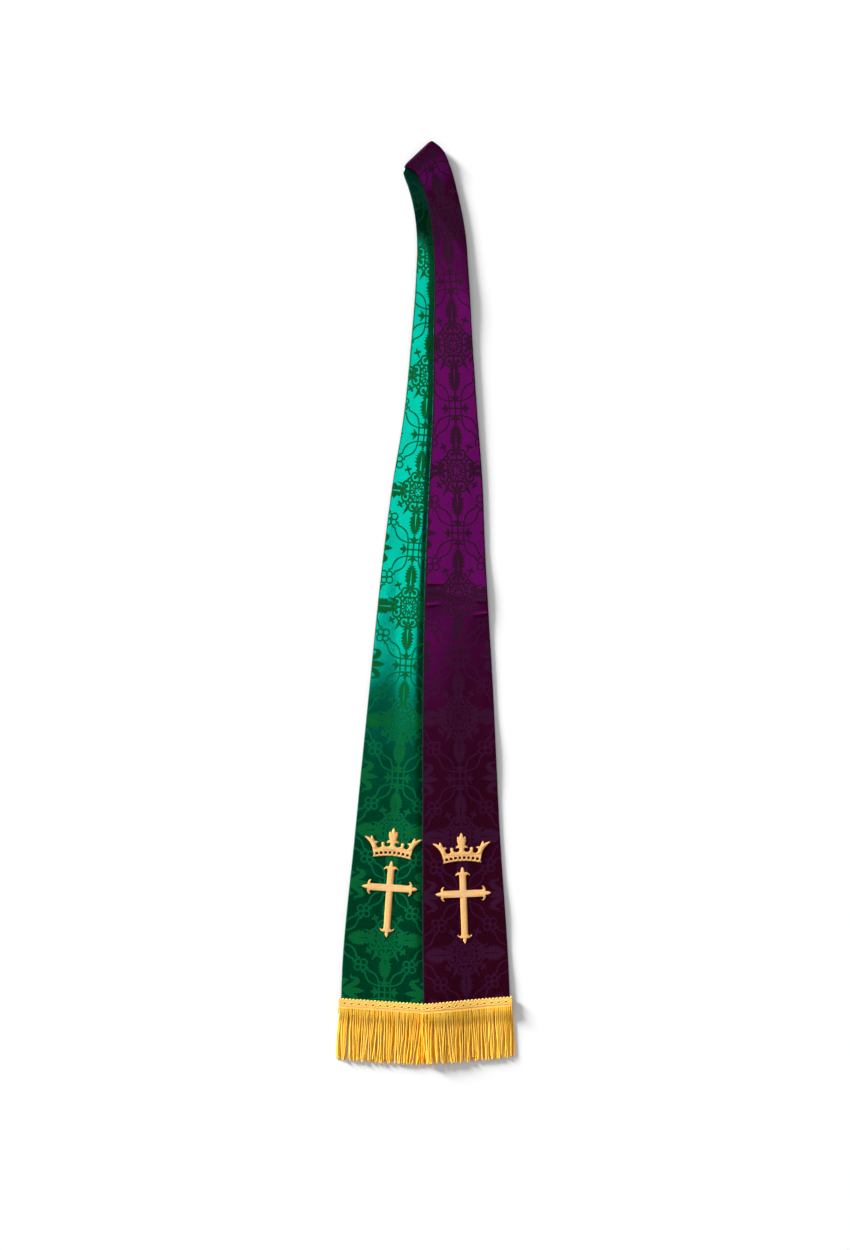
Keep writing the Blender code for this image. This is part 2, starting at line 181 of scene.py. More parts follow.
# Thickness of the cloth, its turn at the neck, and the header that is folded over each hem
CLOTH = 1.0 * MM
GAP = 0.3 * MM
STACK = 2 * CLOTH + GAP
MIDDLE = STACK / 2
FOLD_INNER_RADIUS = 1.8 * MM
FOLD_OUTER_RADIUS = FOLD_INNER_RADIUS + STACK
FOLD_SETTLE = 58 * MM
FOLD_END = 12 * MM
CORNER_RADIUS = 7.5 * MM
HEM = 1263.7 * MM
HEADER_TOP = 1247 * MM
HEADER_END = 1267 * MM
HEADER_TAPE = 1.0 * MM
HEADER_OVERHANG = 3 * MM
HEADER_HEIGHT = STACK + 2 * (HEADER_TAPE + GAP)
HEM_RAISE = HEADER_TAPE + GAP
HEM_RAISE_SPAN = (1150 * MM, 1243 * MM)
HEADER_CLIMB_SPAN = (1150 * MM, 1237 * MM)
HEADER_CLIMB = HEADER_HEIGHT - STACK
FRINGE_END = 1337 * MM
LEDGE = 4 * MM
FALL = 85 * MM
# Bulge of the lower limb beside the upper limb's edge: steepness, and distances of the steep part's
# end, of the crest and of the foot
BULGE_SLOPE = 0.23
BULGE_STEEP = 6.5 * MM
BULGE_CREST = 10.0 * MM
BULGE_FOOT = 44.0 * MM
# Where the bulge starts below the fold and where it ends, each with the length it takes
BULGE_START, BULGE_START_SPAN = 0.085, 0.08
BULGE_END, BULGE_END_SPAN = 1.18, 0.06
# Share of the header's climb that the fringe loses towards its tips, and where that starts
FRINGE_SETTLE = 0.85
FRINGE_SETTLE_START = 6 * MM
# Distance on each side over which the cloth's own slope is taken
SLOPE_STEP = 0.6 * MM


def smooth(share: Array | float) -> Array:
    """Ease from 0 to 1 as share goes from 0 to 1, and hold it outside them."""
    held = np.clip(share, 0.0, 1.0)
    return held * held * (3.0 - 2.0 * held)


def curve(t: Array | float, first: Array, leaving: Array, last: Array, arriving: Array) -> Array:
    """Smooth curve between two values or points.

    Args:
        t: Place on it, from 0 to 1.
        first: Its start.
        leaving: Its direction there, as long as the curve is.
        last: Its end.
        arriving: Its direction there.

    Returns:
        The value or point at t.
    """
    start = first * (2 * t**3 - 3 * t**2 + 1) + leaving * (t**3 - 2 * t**2 + t)
    return start + (last * (3 * t**2 - 2 * t**3) + arriving * (t**3 - t**2))


class Lay:
    """How the folded stole lies: outline, heights, waves and creases.

    across is measured from a limb's middle, run from the fold along the limb, and offset from the
    green face towards the purple face.
    """

    def __init__(self) -> None:
        """Read the table of sections and find the frame's own place for it."""
        rows = np.array(SECTIONS, dtype=float)
        self.runs: Array = rows[:, 0] * MM
        self.values: dict[str, Array] = {}
        for k, name in enumerate(Section._fields[1:], start=1):
            unit = math.radians(1.0) if name.endswith("tilt") else MM
            self.values[name] = rows[:, k] * unit
        self.slopes = {name: np.gradient(column, self.runs) for name, column in self.values.items()}
        runs = np.linspace(0.0, self.runs[-1], 90)
        self.lower_edge = self.plan(Limb.LOWER, self.half_width(runs), runs)
        self.upper_edge = self.plan(Limb.UPPER, -self.half_width(runs), runs)
        self.hem_middle = self.plan(Limb.LOWER, 0.0, HEADER_TOP)
        tilt = float(self.section("lower_tilt", HEADER_TOP))
        self.hem_down = np.array([math.sin(tilt), -math.cos(tilt)])
        self.shift = np.zeros(3)
        reach = float(self.half_width(HEM))
        own = self.plan(Limb.LOWER, np.array([-reach, reach]), np.array([HEM, HEM]))
        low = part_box("green_face_lower")[0]
        self.shift = np.array([low.x - own[0, 0], low.y - own[1, 1], 0.0])

    def section(self, name: str, run: Array | float) -> Array:
        """Value of one of the table's columns at a run, on a smooth curve through the rows.

        Args:
            name: The column's name.
            run: One run or an array of them.

        Returns:
            Lengths in metres, or tilts in radians.
        """
        run = np.asarray(run, dtype=float)
        i = np.clip(np.searchsorted(self.runs, run) - 1, 0, len(self.runs) - 2)
        span = self.runs[i + 1] - self.runs[i]
        t = (run - self.runs[i]) / span
        values, slopes = self.values[name], self.slopes[name]
        return curve(t, values[i], slopes[i] * span, values[i + 1], slopes[i + 1] * span)

    def half_width(self, run: Array | float) -> Array:
        """Half the limb's width at a run."""
        return self.section("width", run) / 2

    def plan(self, limb: Limb, across: Array | float, run: Array | float) -> Array:
        """Place of a point seen from above.

        Args:
            limb: The limb it is on.
            across: Distance from the limb's middle.
            run: Distance from the fold.

        Returns:
            x and y in the last axis.
        """
        tilt = self.section(limb.value + "_tilt", run)
        x = self.section(limb.value + "_x", run) + across * np.cos(tilt)
        y = -self.section(limb.value + "_down", run) + across * np.sin(tilt)
        return np.stack([x, y], axis=-1)

    def rest_height(self, limb: Limb, place: Array) -> Array:
        """Height of what the limb lies on: the surface, or the lower limb.

        Args:
            limb: The limb that lies there.
            place: x and y in the last axis.

        Returns:
            The height at each place.
        """
        if limb is Limb.LOWER:
            return np.zeros(place.shape[:-1])
        edge_x = np.interp(-place[..., 1], -self.lower_edge[:, 1], self.lower_edge[:, 0])
        share = 1.0 - smooth((place[..., 0] - edge_x - LEDGE) / FALL)
        lower_run = HEADER_TOP + (place - self.hem_middle) @ self.hem_down
        start, end = HEADER_CLIMB_SPAN
        climb = smooth((lower_run - start) / (end - start))
        settle = smooth((lower_run - HEADER_END - FRINGE_SETTLE_START) / (FRINGE_END - HEADER_END))
        return share * (STACK + GAP + HEADER_CLIMB * climb * (1.0 - FRINGE_SETTLE * settle))

    def bulge(self, place: Array) -> Array:
        """Height by which the lower limb swells beside the upper limb's edge.

        Args:
            place: x and y in the last axis.

        Returns:
            The added height at each place.
        """
        edge_x = np.interp(-place[..., 1], -self.upper_edge[:, 1], self.upper_edge[:, 0])
        out = edge_x - place[..., 0]
        span = BULGE_CREST - BULGE_STEEP
        bend = np.clip(out - BULGE_STEEP, 0.0, span)
        rise = BULGE_SLOPE * (np.clip(out, 0.0, BULGE_STEEP) + bend - bend**2 / (2 * span))
        outer = 1.0 - smooth((out - BULGE_CREST) / (BULGE_FOOT - BULGE_CREST))
        start = smooth((-place[..., 1] - BULGE_START) / BULGE_START_SPAN)
        end = 1.0 - smooth((-place[..., 1] - BULGE_END) / BULGE_END_SPAN)
        return rise * outer * start * end

    def relief(self, limb: Limb, across: Array, run: Array) -> Array:
        """Height that waves, creases and the bulge add.

        Args:
            limb: The limb.
            across: Distance from the limb's middle.
            run: Distance from the fold.

        Returns:
            The added height at each point.
        """
        height = np.zeros(np.broadcast(across, run).shape)
        reach = self.half_width(run)
        for wave in WAVES:
            if wave.limb is limb:
                along = np.abs(run - wave.run * MM) / (wave.length * MM / 2)
                outward = wave.side * across / reach
                height = height + wave.lift * MM * (1.0 - smooth(along)) * smooth(outward)
        for crease in CREASES:
            if crease.limb is limb:
                start = crease.run * MM
                aside = across - crease.share * self.half_width(start)
                ahead = run - start
                turn = math.radians(crease.heading)
                along = (ahead * math.cos(turn) + aside * math.sin(turn)) / (crease.length * MM)
                off = (aside * math.cos(turn) - ahead * math.sin(turn)) / (crease.width * MM)
                height = height + crease.height * MM * np.exp(-along**2 - off**2)
        if limb is Limb.LOWER:
            height = height + self.bulge(self.plan(limb, across, run))
        return height

    def base(self, limb: Limb, across: Array, run: Array) -> Array:
        """Point of the limb's green face, which other surfaces are offset from.

        Args:
            limb: The limb.
            across: Distance from the limb's middle.
            run: Distance from the fold.

        Returns:
            x, y and z in the last axis, before the frame's shift.
        """
        place = self.plan(limb, across, run)
        start, end = HEM_RAISE_SPAN
        height = self.rest_height(limb, place) + self.relief(limb, across, run)
        height = height + HEM_RAISE * smooth((run - start) / (end - start))
        if limb is Limb.LOWER:
            height = height + STACK
        else:
            lift = 2 * FOLD_INNER_RADIUS - GAP
            height = height + lift * (1.0 - smooth((run - FOLD_OUTER_RADIUS) / FOLD_SETTLE))
        return np.concatenate([place, height[..., None]], axis=-1)

    def point(self, limb: Limb, offset: Array | float, across: Array | float, run: Array | float) -> Array:
        """Point at an offset from the green face.

        Args:
            limb: The limb.
            offset: Distance from the green face towards the purple face.
            across: Distance from the limb's middle.
            run: Distance from the fold.

        Returns:
            x, y and z in the last axis, in the frame.
        """
        offset, across, run = np.broadcast_arrays(
            np.asarray(offset, float), np.asarray(across, float), np.asarray(run, float))
        along = self.base(limb, across, run + SLOPE_STEP) - self.base(limb, across, run - SLOPE_STEP)
        sideways = self.base(limb, across + SLOPE_STEP, run) - self.base(limb, across - SLOPE_STEP, run)
        normal = np.cross(along, sideways)
        normal = normal * np.sign(normal[..., 2:3]) / np.linalg.norm(normal, axis=-1, keepdims=True)
        return self.base(limb, across, run) + limb.side * normal * offset[..., None] + self.shift

    def fold_point(self, limb: Limb, offset: Array, across: Array, angle: Array) -> Array:
        """Point on the turn at the neck.

        Args:
            limb: The limb.
            offset: Distance from the green face towards the purple face.
            across: Distance from the limb's middle.
            angle: Angle from the seam, up to a quarter turn.

        Returns:
            x, y and z in the last axis, in the frame.
        """
        radius = FOLD_INNER_RADIUS + offset
        tilt = float(self.section("upper_tilt", 0.0))
        inward = FOLD_OUTER_RADIUS - radius * np.cos(angle)
        place = self.plan(limb, across, np.zeros_like(across))
        place = place + inward[..., None] * np.array([math.sin(tilt), -math.cos(tilt)])
        height = FOLD_OUTER_RADIUS + limb.side * radius * np.sin(angle)
        return np.concatenate([place, height[..., None]], axis=-1) + self.shift


@dataclass(frozen=True)
class Repeat:
    """Where the damask's repeat falls on one face, in millimetres.

    crossings are the runs of the crossings of its lattice, width is one repeat across, and axis
    gives (run, across) of the line that the crossings stand on.
    """

    crossings: tuple[float, ...]
    width: float
    axis: tuple[tuple[float, float], ...] = ((0.0, 0.0),)

    def places(self, across: Array, run: Array) -> Array:
        """Place in the repeat, counted in repeats across and along.

        Args:
            across: Distance from the limb's middle.
            run: Distance from the fold.

        Returns:
            Two values in the last axis.
        """
        marks = np.array(self.crossings) * MM
        first, last = marks[1] - marks[0], marks[-1] - marks[-2]
        marks = np.concatenate([[marks[0] - 2 * first], marks, [marks[-1] + 2 * last]])
        counts = np.concatenate([[-2.0], np.arange(len(self.crossings)), [len(self.crossings) + 1.0]])
        runs, shifts = np.array(self.axis).T * MM
        aside = across - np.interp(run, runs, shifts)
        return np.stack([aside / (self.width * MM), np.interp(run, marks, counts)], axis=-1)


REPEATS = {
    Face.PURPLE: Repeat(
        (199.5, 383.8, 565.0, 743.3, 922.0, 1091.8), 149.0,
        ((0, -2.4), (200, -2.4), (290, 0.0), (475, 1.0), (565, 3.2), (650, 3.6), (743, 0.0))),
    Face.GREEN: Repeat((240.4, 413.3, 581.3, 750.5, 915.4, 1072.2, 1230.6), 142.0),
}


class Signal:
    """A socket of a material that takes part in sums and products as a number does."""

    def __init__(self, graph: "Graph", socket: bpy.types.NodeSocket) -> None:
        """Keep the graph that the socket belongs to."""
        self.graph = graph
        self.socket = socket

    def __add__(self, other: "Value") -> "Signal":
        """Sum."""
        return self.graph.maths("ADD", self, other)

    def __radd__(self, other: float) -> "Signal":
        """Sum with a number first."""
        return self.graph.maths("ADD", other, self)

    def __sub__(self, other: "Value") -> "Signal":
        """Difference."""
        return self.graph.maths("SUBTRACT", self, other)

    def __rsub__(self, other: float) -> "Signal":
        """Difference from a number."""
        return self.graph.maths("SUBTRACT", other, self)

    def __mul__(self, other: "Value") -> "Signal":
        """Product."""
        return self.graph.maths("MULTIPLY", self, other)

    def __rmul__(self, other: float) -> "Signal":
        """Product with a number first."""
        return self.graph.maths("MULTIPLY", other, self)

    def __truediv__(self, other: "Value") -> "Signal":
        """Quotient."""
        return self.graph.maths("DIVIDE", self, other)

    def __abs__(self) -> "Signal":
        """The value without its sign."""
        return self.graph.maths("ABSOLUTE", self)

    def least(self, other: "Value") -> "Signal":
        """The smaller of two values."""
        return self.graph.maths("MINIMUM", self, other)

    def most(self, other: "Value") -> "Signal":
        """The larger of two values."""
        return self.graph.maths("MAXIMUM", self, other)

    def sine(self) -> "Signal":
        """Sine of an angle in radians."""
        return self.graph.maths("SINE", self)

    def zigzag(self, reach: float) -> "Signal":
        """Triangle wave from 0 to reach and back."""
        return self.graph.maths("PINGPONG", self, reach)

    def held(self) -> "Signal":
        """The value held between 0 and 1."""
        return self.graph.node("ShaderNodeClamp", {}, {"Value": self})["Result"]


Value = Signal | float


class Graph:
    """Node tree of one material."""

    def __init__(self, name: str) -> None:
        """Start a material that has only a Principled BSDF and its output.

        Args:
            name: The material's name.
        """
        self.material = bpy.data.materials.new(name)
        self.material.use_nodes = True
        self.tree = self.material.node_tree
        self.shader = self.tree.nodes["Principled BSDF"]

    def node(self, kind: str, settings: dict[str, object], inputs: dict[str | int, object]) -> "Outputs":
        """Add a node.

        Args:
            kind: The node's type.
            settings: Values of its properties, set first.
            inputs: Numbers, colours or Signals for its sockets, by name or place.

        Returns:
            Its outputs.
        """
        made = self.tree.nodes.new(kind)
        for key, value in settings.items():
            setattr(made, key, value)
        for key, value in inputs.items():
            self.feed(made.inputs[key], value)
        return Outputs(self, made)

    def feed(self, socket: bpy.types.NodeSocket, value: object) -> None:
        """Link a Signal to a socket, or set the socket's own value.

        Args:
            socket: The input.
            value: A Signal, a number, or a colour or vector as a tuple.
        """
        if isinstance(value, Signal):
            self.tree.links.new(value.socket, socket)
        elif isinstance(value, tuple) and socket.type == "RGBA" and len(value) == 3:
            socket.default_value = (*value, 1.0)
        else:
            socket.default_value = value

    def sums(self, kind: str, operation: str, values: Sequence[object]) -> "Outputs":
        """Outputs of a Math or Vector Math node."""
        return self.node("ShaderNode" + kind, {"operation": operation}, dict(enumerate(values)))

    def maths(self, operation: str, *values: Value) -> Signal:
        """Result of a Math node."""
        return self.sums("Math", operation, values)["Value"]

    def vector(self, operation: str, *values: object) -> Signal:
        """Vector result of a Vector Math node."""
        return self.sums("VectorMath", operation, values)["Vector"]

    def measure(self, operation: str, *values: object) -> Signal:
        """Number that a Vector Math node gives, such as a distance."""
        return self.sums("VectorMath", operation, values)["Value"]

    def join(self, x: Value, y: Value) -> Signal:
        """Vector of two values."""
        return self.node("ShaderNodeCombineXYZ", {}, {"X": x, "Y": y})["Vector"]

    def split(self, vector: Signal) -> tuple[Signal, Signal]:
        """First two values of a vector."""
        parts = self.node("ShaderNodeSeparateXYZ", {}, {"Vector": vector})
        return parts["X"], parts["Y"]

    def blend(self, share: Value, first: Colour | Signal, second: Colour | Signal) -> Signal:
        """Colour between two colours, the first where share is 0."""
        inputs = {0: share, 6: first, 7: second}
        return self.node("ShaderNodeMix", {"data_type": "RGBA"}, inputs)[2]

    def uv(self, name: str) -> Signal:
        """A UV map of the piece."""
        return self.node("ShaderNodeUVMap", {"uv_map": name}, {})["UV"]

    def mark(self, name: str) -> Signal:
        """A number that the piece's points carry."""
        return self.node("ShaderNodeAttribute", {"attribute_name": name}, {})["Fac"]

    def noise(self, place: Signal, scale: float, detail: float) -> Signal:
        """Smooth noise about 0.5, finer with a higher scale and with more layers of detail."""
        inputs = {"Vector": place, "Scale": scale, "Detail": detail, "Roughness": 0.5}
        return self.node("ShaderNodeTexNoise", {}, inputs)[0]

    def set(self, name: str, value: object) -> None:
        """Give one of the shader's inputs a Signal or a value."""
        self.feed(self.shader.inputs[name], value)

    def bump(self, height: Signal, distance: float) -> None:
        """Relief on the shader of a height between 0 and 1, this many metres deep."""
        inputs = {"Height": height, "Distance": distance, "Strength": 1.0}
        self.set("Normal", self.node("ShaderNodeBump", {}, inputs)["Normal"])


class Outputs:
    """Outputs of a node, by name or place."""

    def __init__(self, graph: Graph, node: bpy.types.Node) -> None:
        """Keep the node."""
        self.graph = graph
        self.made = node

    def __getitem__(self, key: str | int) -> Signal:
        """One of the outputs."""
        return Signal(self.graph, self.made.outputs[key])


class Damask:
    """The brocade's traditional figure, drawn by distances from simple shapes.

    It is a lattice of paired strands, with a cross where strands cross, knots between the
    crossings, and two flowers by turns in the openings. One repeat is 84 by 96 units.
    """

    width = 84.0
    height = 96.0
    edge = 0.42

    def __init__(self, graph: Graph, repeats: Signal) -> None:
        """Fold the repeat about its own axes.

        Args:
            graph: The material's node tree.
            repeats: Place on the cloth, counted in repeats.
        """
        self.graph = graph
        across, along = graph.split(repeats)
        self.x = across.zigzag(0.5) * self.width
        self.y = along.zigzag(0.5) * self.height
        # up is towards the neck, from the middle of the flower between two crossings
        self.up = (0.5 - graph.maths("FRACT", along)) * self.height
        self.quarter = graph.join(self.x, self.y)
        self.flower = graph.join(self.x, self.up)

    @staticmethod
    def union(*parts: Signal) -> Signal:
        """Distance from the nearest of several shapes."""
        return functools.reduce(Signal.least, parts)

    def disc(self, place: Signal, x: float, y: float, radius: float) -> Signal:
        """Distance from a disc's rim, less than 0 inside."""
        return self.graph.measure("DISTANCE", place, (x, y, 0.0)) - radius

    def stroke(self, place: Signal, start: Sequence[float], end: Sequence[float],
               thick: float, thin: float) -> Signal:
        """Distance from a tapered stroke with round ends.

        Args:
            place: The place.
            start: Its first point.
            end: Its last point.
            thick: Half its width at the first point.
            thin: Half its width at the last point.

        Returns:
            The distance, less than 0 inside.
        """
        way = (end[0] - start[0], end[1] - start[1], 0.0)
        size = way[0] ** 2 + way[1] ** 2
        from_start = self.graph.vector("SUBTRACT", place, (start[0], start[1], 0.0))
        share = (self.graph.measure("DOT_PRODUCT", from_start, tuple(v / size for v in way))).held()
        nearest = self.graph.vector("MULTIPLY", self.graph.join(share, share), way)
        distance = self.graph.measure("DISTANCE", from_start, nearest)
        return distance - share * (thin - thick) - thick

    def petal(self, along: Signal, across: Signal, middle: float, length: float, half: float) -> Signal:
        """Distance from the rim of a pointed petal.

        Args:
            along: Place along the petal.
            across: Distance from its middle line.
            middle: Place of its middle along.
            length: Half its length.
            half: Half its width.

        Returns:
            The distance, less than 0 inside.
        """
        radius = (length**2 + half**2) / (2 * half)
        place = self.graph.join(along, across)
        return self.graph.measure("DISTANCE", place, (middle, half - radius, 0.0)) - radius

    def leaf(self, along: Signal, across: Signal, middle: float, length: float, half: float) -> Signal:
        """Distance from a leaf of two toothed lobes with a light rib between them.

        Args:
            along: Place along the leaf, outwards.
            across: Distance from its rib.
            middle: Place of its middle along.
            length: Half its length.
            half: Half its width.

        Returns:
            The distance, less than 0 inside.
        """
        tooth = self.graph.maths("FRACT", (along - across * 0.9) / 2.9)
        rib = 1.0 - (along - middle + length) * (0.6 / length) - across
        return (self.petal(along, across, middle, length, half) + tooth * 2.0 - 0.2).most(rib)

    def line(self, distance: Signal, half: float) -> Signal:
        """Distance from a line of this half width that follows another shape's rim."""
        return abs(distance) - half

    def strokes(self, place: Signal, table: Sequence[tuple]) -> list[Signal]:
        """Distances from the strokes of a table with columns start, end, thick and thin."""
        return [self.stroke(place, *row) for row in table]

    def cross(self) -> Signal:
        """The small cross at a crossing, with three-leaved ends, over a square of strands.

        Returns:
            The distance from the cross, less than 0 inside.
        """
        long = self.x.most(self.y)
        short = self.x.least(self.y)
        upright = abs(self.x - 4.75).most(self.y - 5.9)
        level = abs(self.y - 5.7).most(self.x - 5.0)
        return self.union(
            (short - 0.6).most(long - 9.0),
            self.petal(long, short, 9.0, 2.6, 1.3),
            self.stroke(self.graph.join(long, short), (7.5, 0.9), (9.2, 4.1), 1.2, 0.3),
            upright.least(level) - 0.52,
        )

    def strands(self) -> Signal:
        """The pair of strands along one edge of the lattice, and the knot at its middle.

        Returns:
            The distance from the strands, less than 0 inside.
        """
        wide, high = self.width / 2, self.height / 2
        edge = math.hypot(wide, high)
        cosine, sine = wide / edge, high / edge
        right, down = self.x - wide / 2, self.y - high / 2
        along = abs(right * cosine + down * sine)
        aside = abs(down * cosine - right * sine)
        share = ((along - 8.0) / 16.5).held()
        apart = (1.0 - share) * 1.8 + (share * math.pi).sine() * 3.2 + (8.0 - along).most(0.0) * 0.5
        place = self.graph.join(along, aside)
        return self.union(
            (abs(aside - apart) * 0.88 - 0.5).most(along - 24.7).most(5.2 - along),
            self.line(self.disc(place, 0.0, 3.5, 2.7), 0.5),
            self.line(self.disc(place, 3.4, 0.0, 2.4), 0.5),
        )

    def rose(self) -> Signal:
        """The round flower: scrolls about rings of petals, with its leaves, horns and thorns.

        Returns:
            The distance from the flower, less than 0 inside.
        """
        graph = self.graph
        squeezed = graph.vector("MULTIPLY", self.flower, (1.0, 0.86, 0.0))
        radius = graph.measure("LENGTH", squeezed)
        part_x, part_y = graph.split(squeezed)
        angle = graph.maths("ARCTAN2", part_y, part_x).zigzag(math.pi / 4)
        aside = radius * angle.sine()
        sector = graph.join(radius * graph.maths("COSINE", angle), aside)
        rise = abs(self.up)
        return self.union(
            self.line(self.disc(sector, 10.5, 4.0, 3.3), 0.65).most(1.4 - self.disc(sector, 8.6, 1.3, 0.0)),
            self.line(radius - 12.9, 0.65).most(6.4 - aside),
            self.line(radius - 10.3, 0.6).most(5.6 - aside),
            self.line(radius - 7.4, 0.6),
            self.line(radius - 3.2, 0.5),
            self.line(self.disc(sector, 5.3, 0.0, 1.3), 0.45),
            self.line(self.disc(sector, 3.8, 3.8, 1.3), 0.45),
            self.disc(sector, 8.9, 0.0, 0.9),
            self.disc(sector, 1.7, 0.0, 0.65),
            self.leaf(rise, self.x, 25.4, 12.0, 5.5),
            self.leaf(self.x, rise, 23.0, 10.8, 6.8),
            *self.strokes(sector, (
                ((10.6, 3.7), (12.2, 2.0), 1.45, 0.7),
                ((13.4, 0.0), (15.3, 0.0), 0.9, 0.5),
            )),
            *self.strokes(self.flower, (
                ((8.8, 14.2), (10.2, 17.6), 0.5, 0.7),
                ((8.5, 18.9), (12.5, 17.7), 0.9, 0.9),
                ((10.5, 18.4), (11.4, 21.0), 0.9, 0.4),
                ((12.0, -9.6), (14.4, -10.8), 0.5, 0.7),
                ((13.2, -12.8), (15.8, -9.2), 0.9, 0.9),
                ((14.6, -11.0), (16.6, -12.4), 0.8, 0.4),
                ((7.9, -13.4), (11.5, -19.2), 1.5, 0.1),
                ((12.8, 5.4), (19.0, 7.7), 1.3, 0.1),
            )),
        )

    def palmette(self) -> Signal:
        """The open flower between two crossings of a row, with curled petals.

        Returns:
            The distance from the flower, less than 0 inside.
        """
        place = self.quarter
        curl = self.stroke(place, (34.5, 1.6), (25.2, 6.6), 0.9, 2.2)
        curls = self.union(curl, self.disc(place, 24.0, 8.9, 2.6))
        return self.union(
            self.petal(self.x, self.y, 27.2, 9.4, 2.6),
            self.petal(self.y, self.width / 2 - self.x, 10.0, 8.6, 2.7),
            curls.most(1.2 - self.disc(place, 27.0, 9.9, 0.0)),
            self.disc(place, self.width / 2, 0.0, 3.4),
            *self.strokes(place, (
                ((24.4, 11.2), (29.4, 12.0), 1.1, 0.5),
                ((28.2, 12.0), (29.6, 14.2), 0.6, 0.2),
                ((38.6, 2.4), (35.2, 8.4), 0.9, 2.0),
                ((35.0, 10.0), (31.4, 9.0), 1.1, 0.4),
            )),
        )

    def figure(self) -> Signal:
        """Share of figure, 1 on the figure and 0 on the ground."""
        distance = self.union(self.cross(), self.strands(), self.rose(), self.palmette())
        return (0.5 - distance / self.edge).held()


@dataclass(frozen=True)
class Brocade:
    """A satin ground over a matt weft, with a matt woven figure.

    neck darkens it near the fold, up to neck_shade_end: painted shade inside the fold, which also dims
    the satin's highlight there. left_shaded_rim is the width in millimetres of the matt rim at its left
    edge, and shaded_rim that of the other rims: painted shade on the turned edges, in the figure's
    darker colour, and darker still at the left edge. rib is the spacing of the ground's ribs, and
    twill that of the figure's, in ribs.
    """

    name: str
    slot: str
    ground: Colour
    weft: Colour
    figure: Colour
    ground_roughness: float
    neck: float
    neck_shade_end: float
    left_shaded_rim: float
    weft_level: float = 0.16
    figure_roughness: float = 0.8
    specular: float = 0.06
    rib: float = 0.9 * MM
    twill: float = 1.7
    relief: float = 0.03 * MM
    neck_shade_span: float = 45 * MM
    rim: float = 1.0 * MM
    shaded_rim: float = 0.9
    streak_scale: float = 800.0
    patch_scale: float = 34.0
    patch_tone: float = 0.34

    def make(self) -> bpy.types.Material:
        """Build the material.

        Returns:
            The material, which reads the UV maps cloth and repeat and the mark edge.
        """
        graph = Graph(self.name)
        figure = Damask(graph, graph.uv("repeat")).figure()
        cloth = graph.uv("cloth")
        across, run = graph.split(cloth)
        streaks = graph.noise(graph.vector("MULTIPLY", cloth, (1.0, 0.2, 0.0)), self.streak_scale, 2.0)
        patches = graph.noise(cloth, self.patch_scale, 3.0)
        rib = (across * (2 * math.pi / self.rib)).sine() * 0.5 + 0.5
        twill = ((across + run * 0.7) * (2 * math.pi / (self.twill * self.rib))).sine() * 0.5 + 0.5
        # Painted shade inside the fold: near the fold the colour is darkened to neck, easing back to full
        # over the span after its end
        near = 1.0 - ((run - self.neck_shade_end) / self.neck_shade_span).held()
        neck = 1.0 - near * (1.0 - self.neck)
        valley = ((self.weft_level - rib) * 5.0 + 0.5).held()
        sheen = self.toned(graph, self.ground, (patches - 0.5) * self.patch_tone + 1.0)
        ground = graph.blend((valley * 2.0).held(), sheen, self.weft)
        tone = 0.86 + twill * 0.28 + (streaks - 0.5) * 0.3
        matt = self.toned(graph, self.figure, tone)
        # Painted shade on the rims: near the edges the satin's sheen is taken off and the figure's darker
        # colour is painted, wider at the left edge
        left = (0.5 - across / self.rim).held()
        width = left * (self.left_shaded_rim - self.shaded_rim) + self.shaded_rim
        rim_shade = (width - graph.mark("edge") / self.rim).held()
        drawn = figure.most(rim_shade)
        colour = graph.blend((drawn * 2.0).held(), ground, matt)
        # The colour carries painted shade: darker near the fold, and darker by half on the left rim
        graph.set("Base Color", self.toned(graph, colour, neck * (1.0 - rim_shade * left * 0.5)))
        graph.set("Metallic", (1.0 - drawn * 2.0).held() * (1.0 - valley * 2.0).held())
        spread = self.figure_roughness - self.ground_roughness
        rough = (drawn * 2.0 - 1.0).held() * spread + self.ground_roughness + (patches - 0.5) * 0.05
        graph.set("Roughness", rough)
        graph.bump((1.0 - figure) * rib * 0.4 + figure * (twill * 0.3 + 0.7) + streaks * 0.2, self.relief)
        graph.set("Specular IOR Level", self.specular)
        return graph.material

    @staticmethod
    def toned(graph: Graph, colour: Colour | Signal, tone: Signal) -> Signal:
        """A colour made lighter or darker by a tone, 1 to keep it."""
        parts = graph.node("ShaderNodeCombineXYZ", {}, {"X": tone, "Y": tone, "Z": tone})["Vector"]
        return graph.vector("MULTIPLY", colour, parts)


@dataclass(frozen=True)
class Thread:
    """Bright twisted thread or cord, whose plies show as slanting stripes.

    lay is the length of one ply's turn, slant how much it slopes, and depth its relief.
    """

    name: str
    slot: str
    light: Colour
    deep: Colour
    roughness: float
    metallic: float
    lay: float
    slant: float
    depth: float
    specular: float = 0.1
    fibre_scale: float = 1400.0

    def make(self) -> bpy.types.Material:
        """Build the material.

        Returns:
            The material, which reads the mark shade where the piece has one.
        """
        graph = Graph(self.name)
        place = graph.node("ShaderNodeTexCoord", {}, {})["Object"]
        x, y = graph.split(place)
        stripe = ((x * self.slant + y) * (2 * math.pi / self.lay)).sine() * 0.5 + 0.5
        fibres = graph.noise(graph.vector("MULTIPLY", place, (1.0, 0.5, 1.0)), self.fibre_scale, 2.0)
        # The ply stripes are painted lighter on the plies and darker in their grooves, a painted shade,
        # besides their bump
        share = (graph.mark("shade") * 0.9 + (stripe - 0.5) * 0.3 + (fibres - 0.5) * 0.4).held()
        graph.set("Base Color", graph.blend(share, self.deep, self.light))
        graph.set("Roughness", (fibres - 0.5) * 0.25 + self.roughness)
        graph.set("Specular IOR Level", self.specular)
        graph.set("Metallic", self.metallic)
        graph.bump(stripe * 0.8 + fibres * 0.4, self.depth)
        return graph.material


